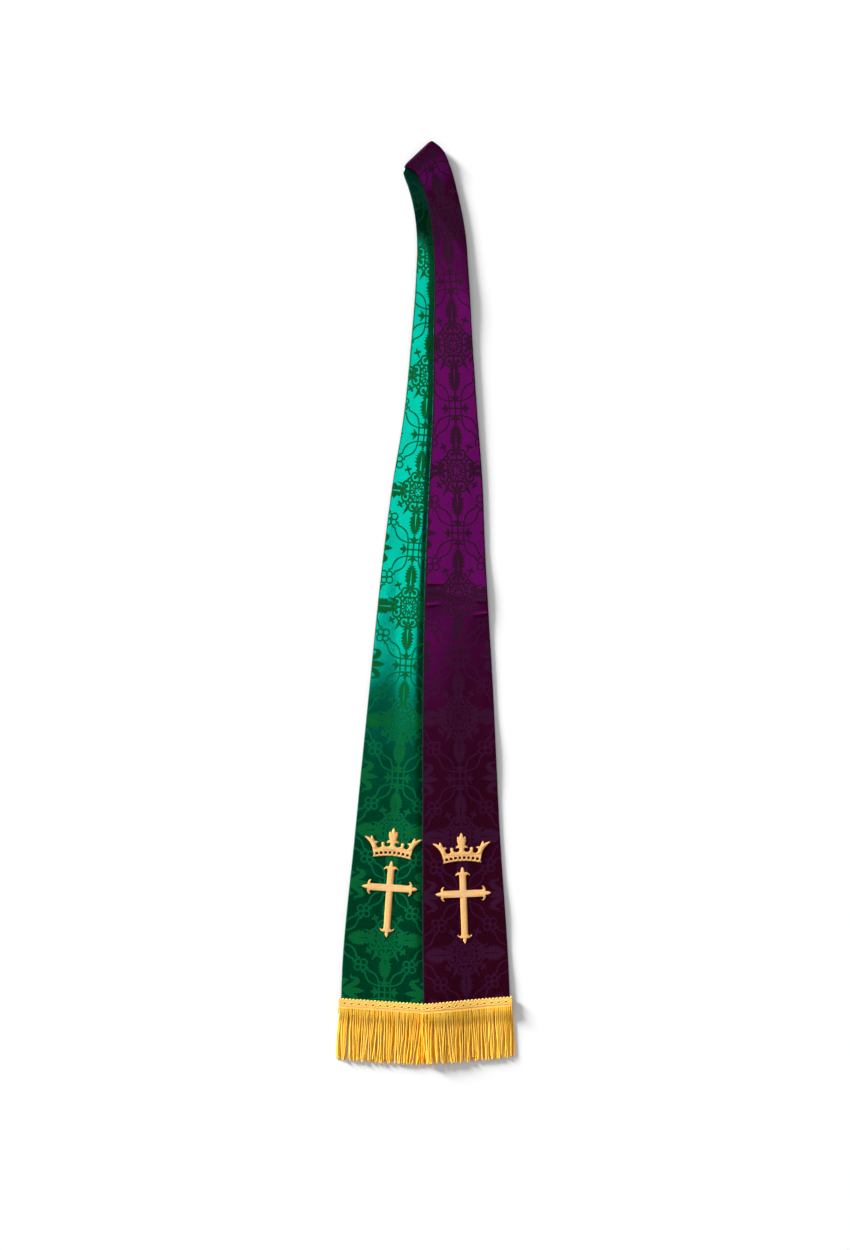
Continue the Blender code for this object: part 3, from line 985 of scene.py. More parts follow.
@dataclass(frozen=True)
class Paper:
    """Plain pale paper under the stole."""

    name: str = "pale_paper"
    colour: Colour = (0.90, 0.90, 0.90)

    def make(self) -> bpy.types.Material:
        """Build the material.

        Returns:
            The material.
        """
        graph = Graph(self.name)
        place = graph.node("ShaderNodeTexCoord", {}, {})["Object"]
        graph.set("Roughness", graph.noise(place, 300.0, 3.0) * 0.1 + 0.85)
        graph.set("Base Color", self.colour)
        graph.set("Specular IOR Level", 0.0)
        return graph.material


BROCADES = {
    Face.PURPLE: Brocade("purple_brocade", "purple_brocade", (0.125, 0.0, 0.124), (0.072, 0.006, 0.016),
                         (0.031, 0.003, 0.020), 0.18, 0.72, 0.125, 2.4),
    Face.GREEN: Brocade("green_brocade", "green_brocade", (0.0, 0.66, 0.49), (0.0, 0.084, 0.019),
                        (0.0, 0.094, 0.021), 0.14, 0.22, 0.110, 0.9),
}
CORD = Thread("gold_cord", "gold_fringe", (1.0, 0.61, 0.085), (0.98, 0.41, 0.0), 0.5, 0.0,
              2.3 * MM, 0.9, 0.16 * MM)
GIMP = Thread("gold_gimp", "gold_fringe", (1.0, 0.63, 0.18), (0.96, 0.46, 0.01), 0.5, 0.0,
              1.1 * MM, 0.7, 0.10 * MM)
# The tape is dark so that the gaps between the gimp's cords read as dark holes: partly the darker cloth
# that shows through them, partly painted shade
TAPE = Thread("gold_tape", "gold_fringe", (0.52, 0.22, 0.006), (0.26, 0.10, 0.001), 0.7, 0.0,
              1.3 * MM, 0.0, 0.10 * MM)
RIBBON = Thread("gold_ribbon", "gold_fringe", (1.0, 0.64, 0.22), (1.0, 0.56, 0.12), 0.5, 0.0,
                40.0 * MM, 60.0, 0.05 * MM)
SATIN = Thread("gold_satin_stitch", "gold_thread", (1.0, 0.68, 0.36), (0.84, 0.35, 0.01), 0.4, 0.08,
               0.9 * MM, 0.5, 0.02 * MM)
PADDING = Thread("gold_padding", "gold_thread", (0.50, 0.19, 0.01), (0.35, 0.12, 0.005), 0.7, 0.0,
                 0.8 * MM, 1.0, 0.05 * MM)


class Workshop:
    """Makes meshes and objects and dresses them, and knows how the stole lies."""

    def __init__(self) -> None:
        """Start with no materials made."""
        self.made: dict[str, bpy.types.Material] = {}
        self.lay = Lay()
        self.tree = StrandTree("strands")

    def finish(self, finish: Brocade | Thread | Paper) -> bpy.types.Material:
        """A finish's material, made once.

        Args:
            finish: The finish.

        Returns:
            The material.
        """
        if finish.name not in self.made:
            self.made[finish.name] = finish.make()
        return self.made[finish.name]

    def piece(self, name: str, mesh: bpy.types.Mesh, finish: Brocade | Thread | Paper) -> bpy.types.Object:
        """Add an object at the origin with its finish.

        Args:
            name: Its name.
            mesh: Its mesh, with its place in it.
            finish: What it is made of.

        Returns:
            The object.
        """
        obj = bpy.data.objects.new(name, mesh)
        mesh.materials.clear()
        mesh.materials.append(self.finish(finish))
        bpy.context.scene.collection.objects.link(obj)
        return obj

    def shell(self, name: str, outer: Array, inner: Array, maps: dict[str, Array],
              marks: dict[str, Array]) -> bpy.types.Mesh:
        """Closed shell between two grids of points of one shape.

        Args:
            name: The mesh's name.
            outer: Grid of points of the outer side.
            inner: Grid of points of the inner side.
            maps: UV maps, a grid of pairs for each.
            marks: Numbers that the points carry, a grid for each.

        Returns:
            The mesh, with its faces outwards.
        """
        rows, columns = outer.shape[:2]
        index = np.arange(rows * columns).reshape(rows, columns)
        quads = np.stack([index[:-1, :-1], index[1:, :-1], index[1:, 1:], index[:-1, 1:]], axis=-1)
        front = quads.reshape(-1, 4)
        back = front[:, ::-1] + rows * columns
        rim = np.concatenate([index[0, :], index[1:, -1], index[-1, -2::-1], index[-2:0:-1, 0]])
        following = np.roll(rim, -1)
        walls = np.stack([rim, following, following + rows * columns, rim + rows * columns], axis=-1)
        faces = np.concatenate([front, back, walls])
        points = np.concatenate([outer.reshape(-1, 3), inner.reshape(-1, 3)])
        mesh = bpy.data.meshes.new(name)
        mesh.from_pydata(points.tolist(), [], faces.tolist())
        for key, grid in maps.items():
            layer = mesh.uv_layers.new(name=key)
            doubled = np.concatenate([grid.reshape(-1, 2)] * 2)
            layer.data.foreach_set("uv", doubled[faces.reshape(-1)].astype(np.float32).reshape(-1))
        for key, grid in marks.items():
            layer = mesh.attributes.new(key, "FLOAT", "POINT")
            layer.data.foreach_set("value", np.concatenate([grid.reshape(-1)] * 2).astype(np.float32))
        self.outwards(mesh)
        return mesh

    def loft(self, name: str, rings: Array, shade: float) -> bpy.types.Mesh:
        """Closed body through rings of points, capped at both ends.

        Args:
            name: The mesh's name.
            rings: Points of each ring, as many in each.
            shade: Shade that its points carry.

        Returns:
            The mesh, with its faces outwards.
        """
        bm = bmesh.new()
        verts = [[bm.verts.new(point) for point in ring] for ring in rings]
        count = len(verts[0])
        for left, right in zip(verts, verts[1:]):
            for k in range(count):
                following = (k + 1) % count
                bm.faces.new((left[k], left[following], right[following], right[k]))
        caps = [bm.faces.new(verts[0]), bm.faces.new(verts[-1])]
        bmesh.ops.triangulate(bm, faces=caps)
        mesh = bpy.data.meshes.new(name)
        bm.to_mesh(mesh)
        bm.free()
        layer = mesh.attributes.new("shade", "FLOAT", "POINT")
        layer.data.foreach_set("value", np.full(len(mesh.vertices), shade, np.float32))
        self.outwards(mesh)
        return mesh

    @staticmethod
    def outwards(mesh: bpy.types.Mesh) -> None:
        """Turn a closed mesh's faces outwards and smooth them.

        Args:
            mesh: The mesh.
        """
        bm = bmesh.new()
        bm.from_mesh(mesh)
        bmesh.ops.recalc_face_normals(bm, faces=bm.faces)
        bm.to_mesh(mesh)
        bm.free()
        mesh.shade_smooth()

    @staticmethod
    def lines(name: str, paths: Sequence[Array], shades: Sequence[Array | float]) -> bpy.types.Mesh:
        """Mesh of edges along paths, whose points carry a shade.

        Args:
            name: The mesh's name.
            paths: Points of each path.
            shades: One number for each path, or one for each of its points.

        Returns:
            The mesh, with edges only.
        """
        edges: list[tuple[int, int]] = []
        count = 0
        for path in paths:
            size = len(path)
            edges += [(count + k, count + k + 1) for k in range(size - 1)]
            count += size
        mesh = bpy.data.meshes.new(name)
        mesh.from_pydata(np.concatenate(paths).tolist(), edges, [])
        layer = mesh.attributes.new("shade", "FLOAT", "POINT")
        values = np.concatenate([np.broadcast_to(shade, len(path)) for path, shade in zip(paths, shades)])
        layer.data.foreach_set("value", values.astype(np.float32))
        return mesh

    @staticmethod
    def evaluated(holder: bpy.types.Object) -> bpy.types.Mesh:
        """Mesh that an object gives, as a plain mesh, with the object itself removed.

        Args:
            holder: The object, not yet in the scene.

        Returns:
            The mesh.
        """
        bpy.context.scene.collection.objects.link(holder)
        bpy.context.view_layer.update()
        graph = bpy.context.evaluated_depsgraph_get()
        mesh = bpy.data.meshes.new_from_object(holder.evaluated_get(graph))
        bpy.data.objects.remove(holder)
        return mesh

    def spun(self, name: str, mesh: bpy.types.Mesh, radius: float, sides: int,
             finish: Thread) -> bpy.types.Object:
        """Give a mesh of edges the bodies of strands and keep the result as a plain mesh.

        Args:
            name: The piece's name.
            mesh: Its paths.
            radius: Radius of a strand.
            sides: Sides of a strand.
            finish: What the strands are made of.

        Returns:
            The piece.
        """
        holder = bpy.data.objects.new(name + "_paths", mesh)
        modifier = holder.modifiers.new("Strands", "NODES")
        modifier.node_group = self.tree.group
        for socket, value in (("Radius", radius), ("Sides", sides), ("Finish", self.finish(finish))):
            modifier[self.tree.socket(socket)] = value
        result = self.evaluated(holder)
        result.name = name
        bpy.data.meshes.remove(mesh)
        self.outwards(result)
        return self.piece(name, result, finish)


class StrandTree:
    """Geometry Nodes that give each path of a mesh of edges the round body of a strand."""

    def __init__(self, name: str) -> None:
        """Build the tree.

        Args:
            name: The tree's name.
        """
        self.group = bpy.data.node_groups.new(name, "GeometryNodeTree")
        for socket, way, kind in (
            ("Paths", "INPUT", "Geometry"),
            ("Radius", "INPUT", "Float"),
            ("Sides", "INPUT", "Int"),
            ("Finish", "INPUT", "Material"),
            ("Strands", "OUTPUT", "Geometry"),
        ):
            self.group.interface.new_socket(socket, in_out=way, socket_type="NodeSocket" + kind)
        nodes = self.group.nodes
        source = nodes.new("NodeGroupInput")
        target = nodes.new("NodeGroupOutput")
        curves = nodes.new("GeometryNodeMeshToCurve")
        profile = nodes.new("GeometryNodeCurvePrimitiveCircle")
        body = nodes.new("GeometryNodeCurveToMesh")
        real = nodes.new("GeometryNodeRealizeInstances")
        dress = nodes.new("GeometryNodeSetMaterial")
        body.inputs["Fill Caps"].default_value = True
        for start, output, end, entry in (
            (source, "Paths", curves, "Mesh"),
            (source, "Radius", profile, "Radius"),
            (source, "Sides", profile, "Resolution"),
            (curves, "Curve", body, "Curve"),
            (profile, "Curve", body, "Profile Curve"),
            (body, "Mesh", real, "Geometry"),
            (real, "Geometry", dress, "Geometry"),
            (source, "Finish", dress, "Material"),
            (dress, "Geometry", target, "Strands"),
        ):
            self.group.links.new(start.outputs[output], end.inputs[entry])

    def socket(self, name: str) -> str:
        """Identifier of an input."""
        items = self.group.interface.items_tree
        return next(item.identifier for item in items if item.name == name and item.in_out == "INPUT")


@dataclass
class Panel:
    """One brocade face of one limb: a thin closed shell, its edges turned in to the seam.

    edge_steps are the distances of its outermost columns from the edge, and spans give where rows of
    one spacing start and end and their spacing, all in millimetres.
    """

    shop: Workshop
    limb: Limb
    face: Face
    turn: float = 1.7 * MM
    seam_depth: float = 0.1 * MM
    edge_steps: tuple[float, ...] = (0.0, 0.1, 0.35, 0.75, 1.3, 2.2, 4.2, 8.0)
    inner_columns: int = 36
    fold_rows: int = 11
    fold_step: float = 0.12 * MM
    probe: float = 0.5 * MM
    joins: tuple[float, ...] = (0.25, 0.5, 0.75)
    spans: tuple[tuple[float, float, float], ...] = (
        (12, 60, 3.0), (60, 200, 5.0), (200, 625, 6.0), (625, 700, 1.25), (700, 1184, 6.0),
        (1184, 1263.7, 4.0),
    )

    @property
    def name(self) -> str:
        """The piece's name."""
        return f"{self.face.name.lower()}_brocade_{self.limb.value}"

    def across(self, reach: Array) -> tuple[Array, Array]:
        """Places of the columns across, and their distance from the nearest edge.

        Args:
            reach: Half the width of each row, as a column of numbers.

        Returns:
            Both, as grids.
        """
        steps = np.array(self.edge_steps) * MM
        inner = np.linspace(0.0, 1.0, self.inner_columns + 1)
        share = np.concatenate([np.zeros(len(steps) - 1), inner, np.ones(len(steps) - 1)])
        inset = np.concatenate([steps, np.full(self.inner_columns - 1, steps[-1]), steps[::-1]])
        side = np.where(share < 0.5, -1.0, 1.0)
        places = (2 * share - 1) * (reach - steps[-1]) + side * (steps[-1] - inset)
        return places, reach - np.abs(places)

    def depths(self, outer: bool) -> tuple[float, float]:
        """Distance of a side from the middle of the stack, in the open and at a seam."""
        return (MIDDLE, self.seam_depth) if outer else (GAP / 2, self.seam_depth / 2)

    def level(self, distance: Array, outer: bool) -> Array:
        """Offset of a surface, which nears the middle of the stack at the edges.

        Args:
            distance: Distance from the nearest edge or seam.
            outer: Whether it is the side that shows.

        Returns:
            The offset from the green face.
        """
        part = 1.0 - np.clip(distance / self.turn, 0.0, 1.0)
        rise = np.sqrt(np.clip(1.0 - part**2, 0.0, 1.0))
        full, least = self.depths(outer)
        return MIDDLE + self.face.value * (least + (full - least) * rise)

    def runs(self) -> Array:
        """Runs of the rows after the turn at the neck.

        Returns:
            The runs, in order.
        """
        rows = [np.array([FOLD_END])]
        for start, end, step in self.spans:
            count = max(1, round((end - start) / step))
            rows.append(np.linspace(start, end, count + 1)[1:] * MM)
        return np.concatenate(rows)

    def surface(self, outer: bool) -> tuple[Array, Array, Array, Array]:
        """One side of the shell, from the seam on the fold to the hem.

        Args:
            outer: Whether it is the side that shows.

        Returns:
            Points, places across, runs and distances from the edge, as grids.
        """
        lay = self.shop.lay
        radius = FOLD_INNER_RADIUS + MIDDLE + self.face.value * self.depths(outer)[0]
        angles = np.linspace(GAP / 4 / radius, math.pi / 2, self.fold_rows)
        angles = np.concatenate([[angles[0], angles[0] + self.fold_step / radius], angles[1:]])[:, None]
        inward = FOLD_OUTER_RADIUS - radius * np.cos(angles)
        width = float(lay.half_width(0.0))
        part = 1.0 - np.clip(inward / CORNER_RADIUS, 0.0, 1.0)
        reach = width - CORNER_RADIUS * (1.0 - np.sqrt(1.0 - part**2))
        across, edge = self.across(reach)
        distance = np.minimum(edge, radius * angles)
        fold = lay.fold_point(self.limb, self.level(distance, outer), across, angles + 0 * across)
        fold_run = FOLD_OUTER_RADIUS - radius * (math.pi / 2 - angles) + 0 * across

        runs = self.runs()[:, None]
        sheet_across, sheet_edge = self.across(lay.half_width(runs))
        level = self.level(sheet_edge, outer)
        sheet_run = runs + 0 * sheet_across
        sheet = lay.point(self.limb, level, sheet_across, sheet_run)

        ahead = lay.point(self.limb, level[0], sheet_across[0], sheet_run[0] + self.probe)
        gap = sheet[0] - fold[-1]
        span = np.linalg.norm(gap, axis=-1, keepdims=True)
        leaving = gap * np.array([1.0, 1.0, 0.0])
        leaving = leaving / np.linalg.norm(leaving, axis=-1, keepdims=True) * span
        arriving = (ahead - sheet[0]) / self.probe * span

        def joined(head: Array, first: Array, rest: Array) -> Array:
            """Grid of the turn's rows, the rows between and the sheet's rows."""
            return np.concatenate([head, [first * (1 - t) + rest[0] * t for t in self.joins], rest])

        between = [curve(t, fold[-1], leaving, sheet[0], arriving) for t in self.joins]
        return (
            np.concatenate([fold, between, sheet]),
            joined(across, across[-1], sheet_across),
            joined(fold_run, fold_run[-1], sheet_run),
            joined(distance, edge[-1], sheet_edge),
        )

    def build(self) -> bpy.types.Object:
        """Make the panel and put it in its node's place.

        Returns:
            The panel.
        """
        outer, across, run, edge = self.surface(True)
        inner = self.surface(False)[0]
        maps = {"cloth": np.stack([across, run], axis=-1), "repeat": REPEATS[self.face].places(across, run)}
        mesh = self.shop.shell(self.name, outer, inner, maps, {"edge": edge})
        finish = BROCADES[self.face]
        panel = self.shop.piece(self.name, mesh, finish)
        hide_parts(f"{self.face.name.lower()}_face_{self.limb.value}")
        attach(panel, "root")
        log.info("%s: %d faces", self.name, len(mesh.polygons))
        return panel


def mirrored(half: Sequence[tuple[float, float]]) -> list[tuple[float, float]]:
    """Close a half outline over its axis, points on the axis once only."""
    return [*half, *[(-out, up) for out, up in reversed(half) if out > 0]]


# One half of a fleury end of the cross, in millimetres: out from the axis, back from the point
FLEUR = (
    (4.7, 15.6), (4.9, 13.2), (5.8, 11.7), (7.0, 11.0), (8.4, 11.4), (10.5, 13.2), (10.1, 11.2), (8.8, 9.4),
    (6.8, 8.2), (4.8, 8.0), (3.2, 8.4), (2.6, 7.2), (2.6, 5.2), (1.7, 2.6),
)
CROSS_REACH = {"top": 39.0, "bottom": 72.5, "side": 40.5}
CROSS_HALF_BAR = 4.8
# One half of the crown, in millimetres: out, up
CROWN = (
    (0.0, 1.1), (7.0, 1.0), (14.3, 0.2), (21.0, -0.9), (27.3, -2.2), (27.0, 0.3), (26.2, 2.1), (27.5, 3.5),
    (27.7, 5.8), (28.9, 10.6), (31.1, 15.9), (33.8, 19.5), (37.0, 22.6), (39.6, 25.1), (42.0, 27.3),
    (39.5, 27.5), (36.2, 26.3), (32.8, 24.6), (32.4, 27.1), (31.3, 28.9), (29.2, 26.3), (27.6, 22.9),
    (26.4, 20.7), (23.8, 21.3), (21.0, 19.7), (23.2, 19.1), (24.2, 17.3), (24.0, 14.9), (22.6, 12.7),
    (19.9, 11.6), (17.6, 12.5), (16.1, 14.2), (15.7, 15.5), (16.6, 17.1), (16.7, 18.5), (15.9, 20.1),
    (14.4, 20.7), (12.9, 20.1), (12.1, 18.5), (12.2, 17.1), (13.1, 15.5), (11.3, 15.2), (9.9, 14.0),
    (7.5, 13.6), (5.0, 14.5), (3.4, 16.3), (3.2, 18.1), (4.4, 19.9), (6.0, 20.3), (9.1, 19.5), (7.8, 22.3),
    (6.0, 23.3), (4.6, 23.5), (5.0, 25.5), (6.0, 27.9), (6.6, 30.9), (6.4, 34.3), (5.1, 36.6), (4.0, 35.0),
    (3.0, 34.6), (2.4, 37.3), (1.2, 40.2), (0.0, 42.0),
)
CROWN_EYES = tuple(6.4 * (k - 3.5) for k in range(8))
CROWN_EYE = (4.3, 3.5)
CROWN_BAND = 10.4
CROWN_HEIGHT = 41.5
# Height of the eyes at the crown's middle, and their drop at its end, which is this far out
CROWN_EYE_LEVEL = 4.0
CROWN_EYE_DROP = 2.5
CROWN_EYE_END = 22.5
CROWN_TOP_RUN = {Limb.UPPER: 1001.0, Limb.LOWER: 989.0}
CROSS_TOP_RUN = {Limb.UPPER: 1050.0, Limb.LOWER: 1037.0}


def cross_outline() -> list[tuple[float, float]]:
    """Outline of the cross about its crossing.

    Returns:
        Its corners, in millimetres.
    """
    arms = (
        ((0.0, 1.0), CROSS_REACH["top"]),
        ((-1.0, 0.0), CROSS_REACH["side"]),
        ((0.0, -1.0), CROSS_REACH["bottom"]),
        ((1.0, 0.0), CROSS_REACH["side"]),
    )
    outline: list[tuple[float, float]] = []
    for axis, reach in arms:
        right = (axis[1], -axis[0])
        for out, back in mirrored([*FLEUR, (0.0, 0.0)]):
            along = reach - back
            outline.append((axis[0] * along + right[0] * out, axis[1] * along + right[1] * out))
        outline.append(tuple(CROSS_HALF_BAR * (axis[k] - right[k]) for k in range(2)))
    return outline


@dataclass
class Embroidery:
    """A raised satin stitch device: padding under threads laid side by side.

    loops are its outline and holes in millimetres. zones gives the slope of the stitches in degrees
    from +X, and a cut to where they have it. pitch, inset and shortest are in millimetres too.
    """

    shop: Workshop
    name: str
    limb: Limb
    origin_run: float
    loops: list[list[tuple[float, float]]]
    zones: tuple[tuple[float, Callable[[Array], Array]], ...]
    pitch: float = 0.46
    thread: float = 0.27 * MM
    pad: float = 0.34 * MM
    crest: float = 0.92 * MM
    inset: float = 0.12
    shortest: float = 0.45
    grid: float = 5 * MM
    dip: float = 0.10 * MM
    foot: float = 0.03 * MM
    seed: int = 11

    def lift(self, place: Array, above: Array) -> Array:
        """Points of the frame over the limb's upper side.

        Args:
            place: Places on the device, in millimetres.
            above: Height over the cloth.

        Returns:
            The points.
        """
        run = (self.origin_run - place[:, 1]) * MM
        offset = STACK + above if self.limb is Limb.UPPER else -above
        return self.shop.lay.point(self.limb, offset, place[:, 0] * MM, run)

    def hatch(self, angle: float, zone: Callable[[Array], Array]) -> list[tuple[Array, Array]]:
        """Stitches at one slope inside the outline and a zone.

        Args:
            angle: Slope of the stitches in degrees.
            zone: Cuts a stitch to the zone, to nothing where it is outside.

        Returns:
            Both ends of each stitch.
        """
        turn = math.radians(angle)
        matrix = np.array([[math.cos(turn), math.sin(turn)], [-math.sin(turn), math.cos(turn)]])
        edges = []
        for loop in self.loops:
            points = np.array(loop) @ matrix.T
            edges.append(np.stack([points, np.roll(points, -1, axis=0)], axis=1))
        sides = np.concatenate(edges)
        low, high = sides[..., 1].min(), sides[..., 1].max()
        found: list[tuple[Array, Array]] = []
        for level in np.arange(low + self.pitch / 2, high, self.pitch):
            start, end = sides[:, 0], sides[:, 1]
            meets = (start[:, 1] > level) != (end[:, 1] > level)
            start, end = start[meets], end[meets]
            share = (level - start[:, 1]) / (end[:, 1] - start[:, 1])
            marks = np.sort(start[:, 0] + share * (end[:, 0] - start[:, 0]))
            for left, right in zip(marks[::2], marks[1::2]):
                ends = np.array([[left + self.inset, level], [right - self.inset, level]]) @ matrix
                ends = zone(ends)
                if np.linalg.norm(ends[1] - ends[0]) > self.shortest and right - left > self.shortest:
                    found.append((ends[0], ends[1]))
        return found

    def threads(self) -> tuple[list[Array], list[Array]]:
        """Arched path of each stitch and its shades, painted deeper towards its ends as painted shade where
        it dips into the cloth.

        Returns:
            Points of each path, and a shade for each point.
        """
        draw = np.random.default_rng(self.seed)
        stitches = [pair for angle, zone in self.zones for pair in self.hatch(angle, zone)]
        share = (1 - np.cos(np.linspace(0.0, math.pi, 8))) / 2
        places, heights = [], []
        for start, end in stitches:
            length = float(np.linalg.norm(end - start))
            places.append(start + (end - start) * share[:, None])
            full = self.crest * min(1.0, 0.5 + length / 14)
            heights.append(self.dip + full * np.sqrt(np.clip(1 - np.abs(2 * share - 1) ** 3.2, 0, 1)))
        points = self.lift(np.concatenate(places), np.concatenate(heights))
        # Painted shade: each stitch is painted deeper towards its ends, where it dips into the cloth; its
        # tone strays at random
        ends = 0.1 + 0.9 * np.sin(math.pi * np.clip(share, 0.03, 0.97)) ** 0.9
        shades = [tone * ends for tone in draw.uniform(0.72, 1.1, len(stitches))]
        return [points[k * len(share):(k + 1) * len(share)] for k in range(len(stitches))], shades

    def padding(self) -> bpy.types.Mesh:
        """Filled outline under the stitches, cut into a grid so that it follows the cloth.

        Returns:
            The mesh.
        """
        curve = bpy.data.curves.new(self.name, "CURVE")
        curve.dimensions = "2D"
        curve.fill_mode = "BOTH"
        curve.extrude = self.pad / 2
        for loop in self.loops:
            spline = curve.splines.new("POLY")
            spline.points.add(len(loop) - 1)
            spline.use_cyclic_u = True
            for point, (x, y) in zip(spline.points, loop):
                point.co = (x * MM, y * MM, 0.0, 1.0)
        flat = self.shop.evaluated(bpy.data.objects.new(self.name, curve))
        bm = bmesh.new()
        bm.from_mesh(flat)
        bmesh.ops.remove_doubles(bm, verts=bm.verts, dist=0.02 * MM)
        bounds = np.array([vert.co for vert in bm.verts])
        for axis in range(2):
            for level in np.arange(bounds[:, axis].min() + self.grid, bounds[:, axis].max(), self.grid):
                place, normal = [0.0] * 3, [0.0] * 3
                place[axis], normal[axis] = float(level), 1.0
                parts = [*bm.verts, *bm.edges, *bm.faces]
                bmesh.ops.bisect_plane(bm, geom=parts, plane_co=place, plane_no=normal, dist=1e-6)
        bmesh.ops.triangulate(bm, faces=bm.faces)
        bm.to_mesh(flat)
        bm.free()
        points = np.array([vert.co for vert in flat.vertices])
        lifted = self.lift(points[:, :2] / MM, self.foot + self.pad / 2 + points[:, 2])
        flat.vertices.foreach_set("co", lifted.astype(np.float32).reshape(-1))
        self.shop.outwards(flat)
        flat.shade_flat()
        return flat

    def build(self) -> list[bpy.types.Object]:
        """Make the device and put it in its node's place.

        Returns:
            The threads and the padding.
        """
        shop = self.shop
        paths, shades = self.threads()
        node = f"{self.name}_{self.limb.value}"
        stitches = shop.spun(f"{node}_stitches", shop.lines(node, paths, shades), self.thread, 6, SATIN)
        padding = shop.piece(f"{node}_padding", self.padding(), PADDING)
        for obj, finish in ((stitches, SATIN), (padding, PADDING)):
            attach(obj, "root")
        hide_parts(node)
        log.info("%s: %d stitches", node, len(paths))
        return [stitches, padding]


def cross_device(shop: Workshop, limb: Limb) -> Embroidery:
    """The cross of one limb.

    Args:
        shop: Where it is made.
        limb: The limb.

    Returns:
        The cross.
    """
    bar = CROSS_HALF_BAR * 0.9

    def upright(ends: Array) -> Array:
        """Level stitches, on the upright arms."""
        middle = abs(ends.mean(axis=0))
        return ends if middle[0] <= middle[1] or middle[0] < bar else ends * 0.0

    def level(ends: Array) -> Array:
        """Upright stitches, on the level arms."""
        middle = abs(ends.mean(axis=0))
        return ends if middle[0] > bar and middle[0] > middle[1] else ends * 0.0

    origin = CROSS_TOP_RUN[limb] + CROSS_REACH["top"]
    zones = (0.0, upright), (90.0, level)
    return Embroidery(shop, "cross", limb, origin, [cross_outline()], zones)


def crown_device(shop: Workshop, limb: Limb) -> Embroidery:
    """The crown of one limb, with the row of square eyes in its band.

    Args:
        shop: Where it is made.
        limb: The limb.

    Returns:
        The crown.
    """
    half, high = CROWN_EYE[0] / 2, CROWN_EYE[1]
    eyes = []
    for x in CROWN_EYES:
        low = CROWN_EYE_LEVEL - CROWN_EYE_DROP * (x / CROWN_EYE_END) ** 2
        eyes.append([(x - half, low), (x + half, low), (x + half, low + high), (x - half, low + high)])

    def band(ends: Array) -> Array:
        """Upright stitches of the band, cut off at its top."""
        return np.minimum(ends, [np.inf, CROWN_BAND])

    def leaves(ends: Array) -> Array:
        """Level stitches of the points, none of them in the band."""
        return ends if ends[0, 1] >= CROWN_BAND else ends * 0.0

    origin = CROWN_TOP_RUN[limb] + CROWN_HEIGHT
    zones = (90.0, band), (0.0, leaves)
    return Embroidery(shop, "crown", limb, origin, [mirrored(CROWN), *eyes], zones)


class Layer(NamedTuple):
    """One layer of a fringe's cords, with heights over what they lie on in millimetres.

    stagger shifts it by a share of the cords' spacing, pull is how far they gather into locks, shade is
    the tone of its cords, lower on the layers beneath as painted shade, and above tells whether they
    start from the side of the header that shows.
    """

    cords: int
    high: float
    low: float
    stagger: float
    pull: float
    shade: float
    above: bool


@dataclass(frozen=True)
class Hang:
    """How loosely the cords of a fringe hang. Lengths are in millimetres, pairs are ranges.

    A cord starts scatter spacings from its own place, leans, and ends tip above the fringe's end
    with tip_scatter, and corner more at the sides, where it bows out by flare and is thinned. It
    sways sideways in swings half turns, and rises by arch in bends half turns. Its shade strays by
    tone with its lock and by own with itself, and gleam along it in gleams radians. root_above and
    root_below place its start over the header's two sides, and it leaves the header over drop.
    """

    scatter: float = 0.4
    lean: float = 2.1
    tip: float = 2.4
    tip_scatter: float = 4.2
    corner: float = 1.6
    flare: float = 1.5
    thinned: float = 0.5
    swings: tuple[float, float] = (0.7, 3.2)
    sway: tuple[float, float] = (0.25, 1.05)
    bends: tuple[float, float] = (1.0, 2.6)
    arch: float = 0.28
    tone: float = 0.15
    own: float = 0.17
    gleams: tuple[float, float] = (4.0, 12.0)
    gleam: float = 0.16
    root_above: float = 0.62
    root_below: float = 0.5
    drop: float = 16.0
    turn: float = 6.3


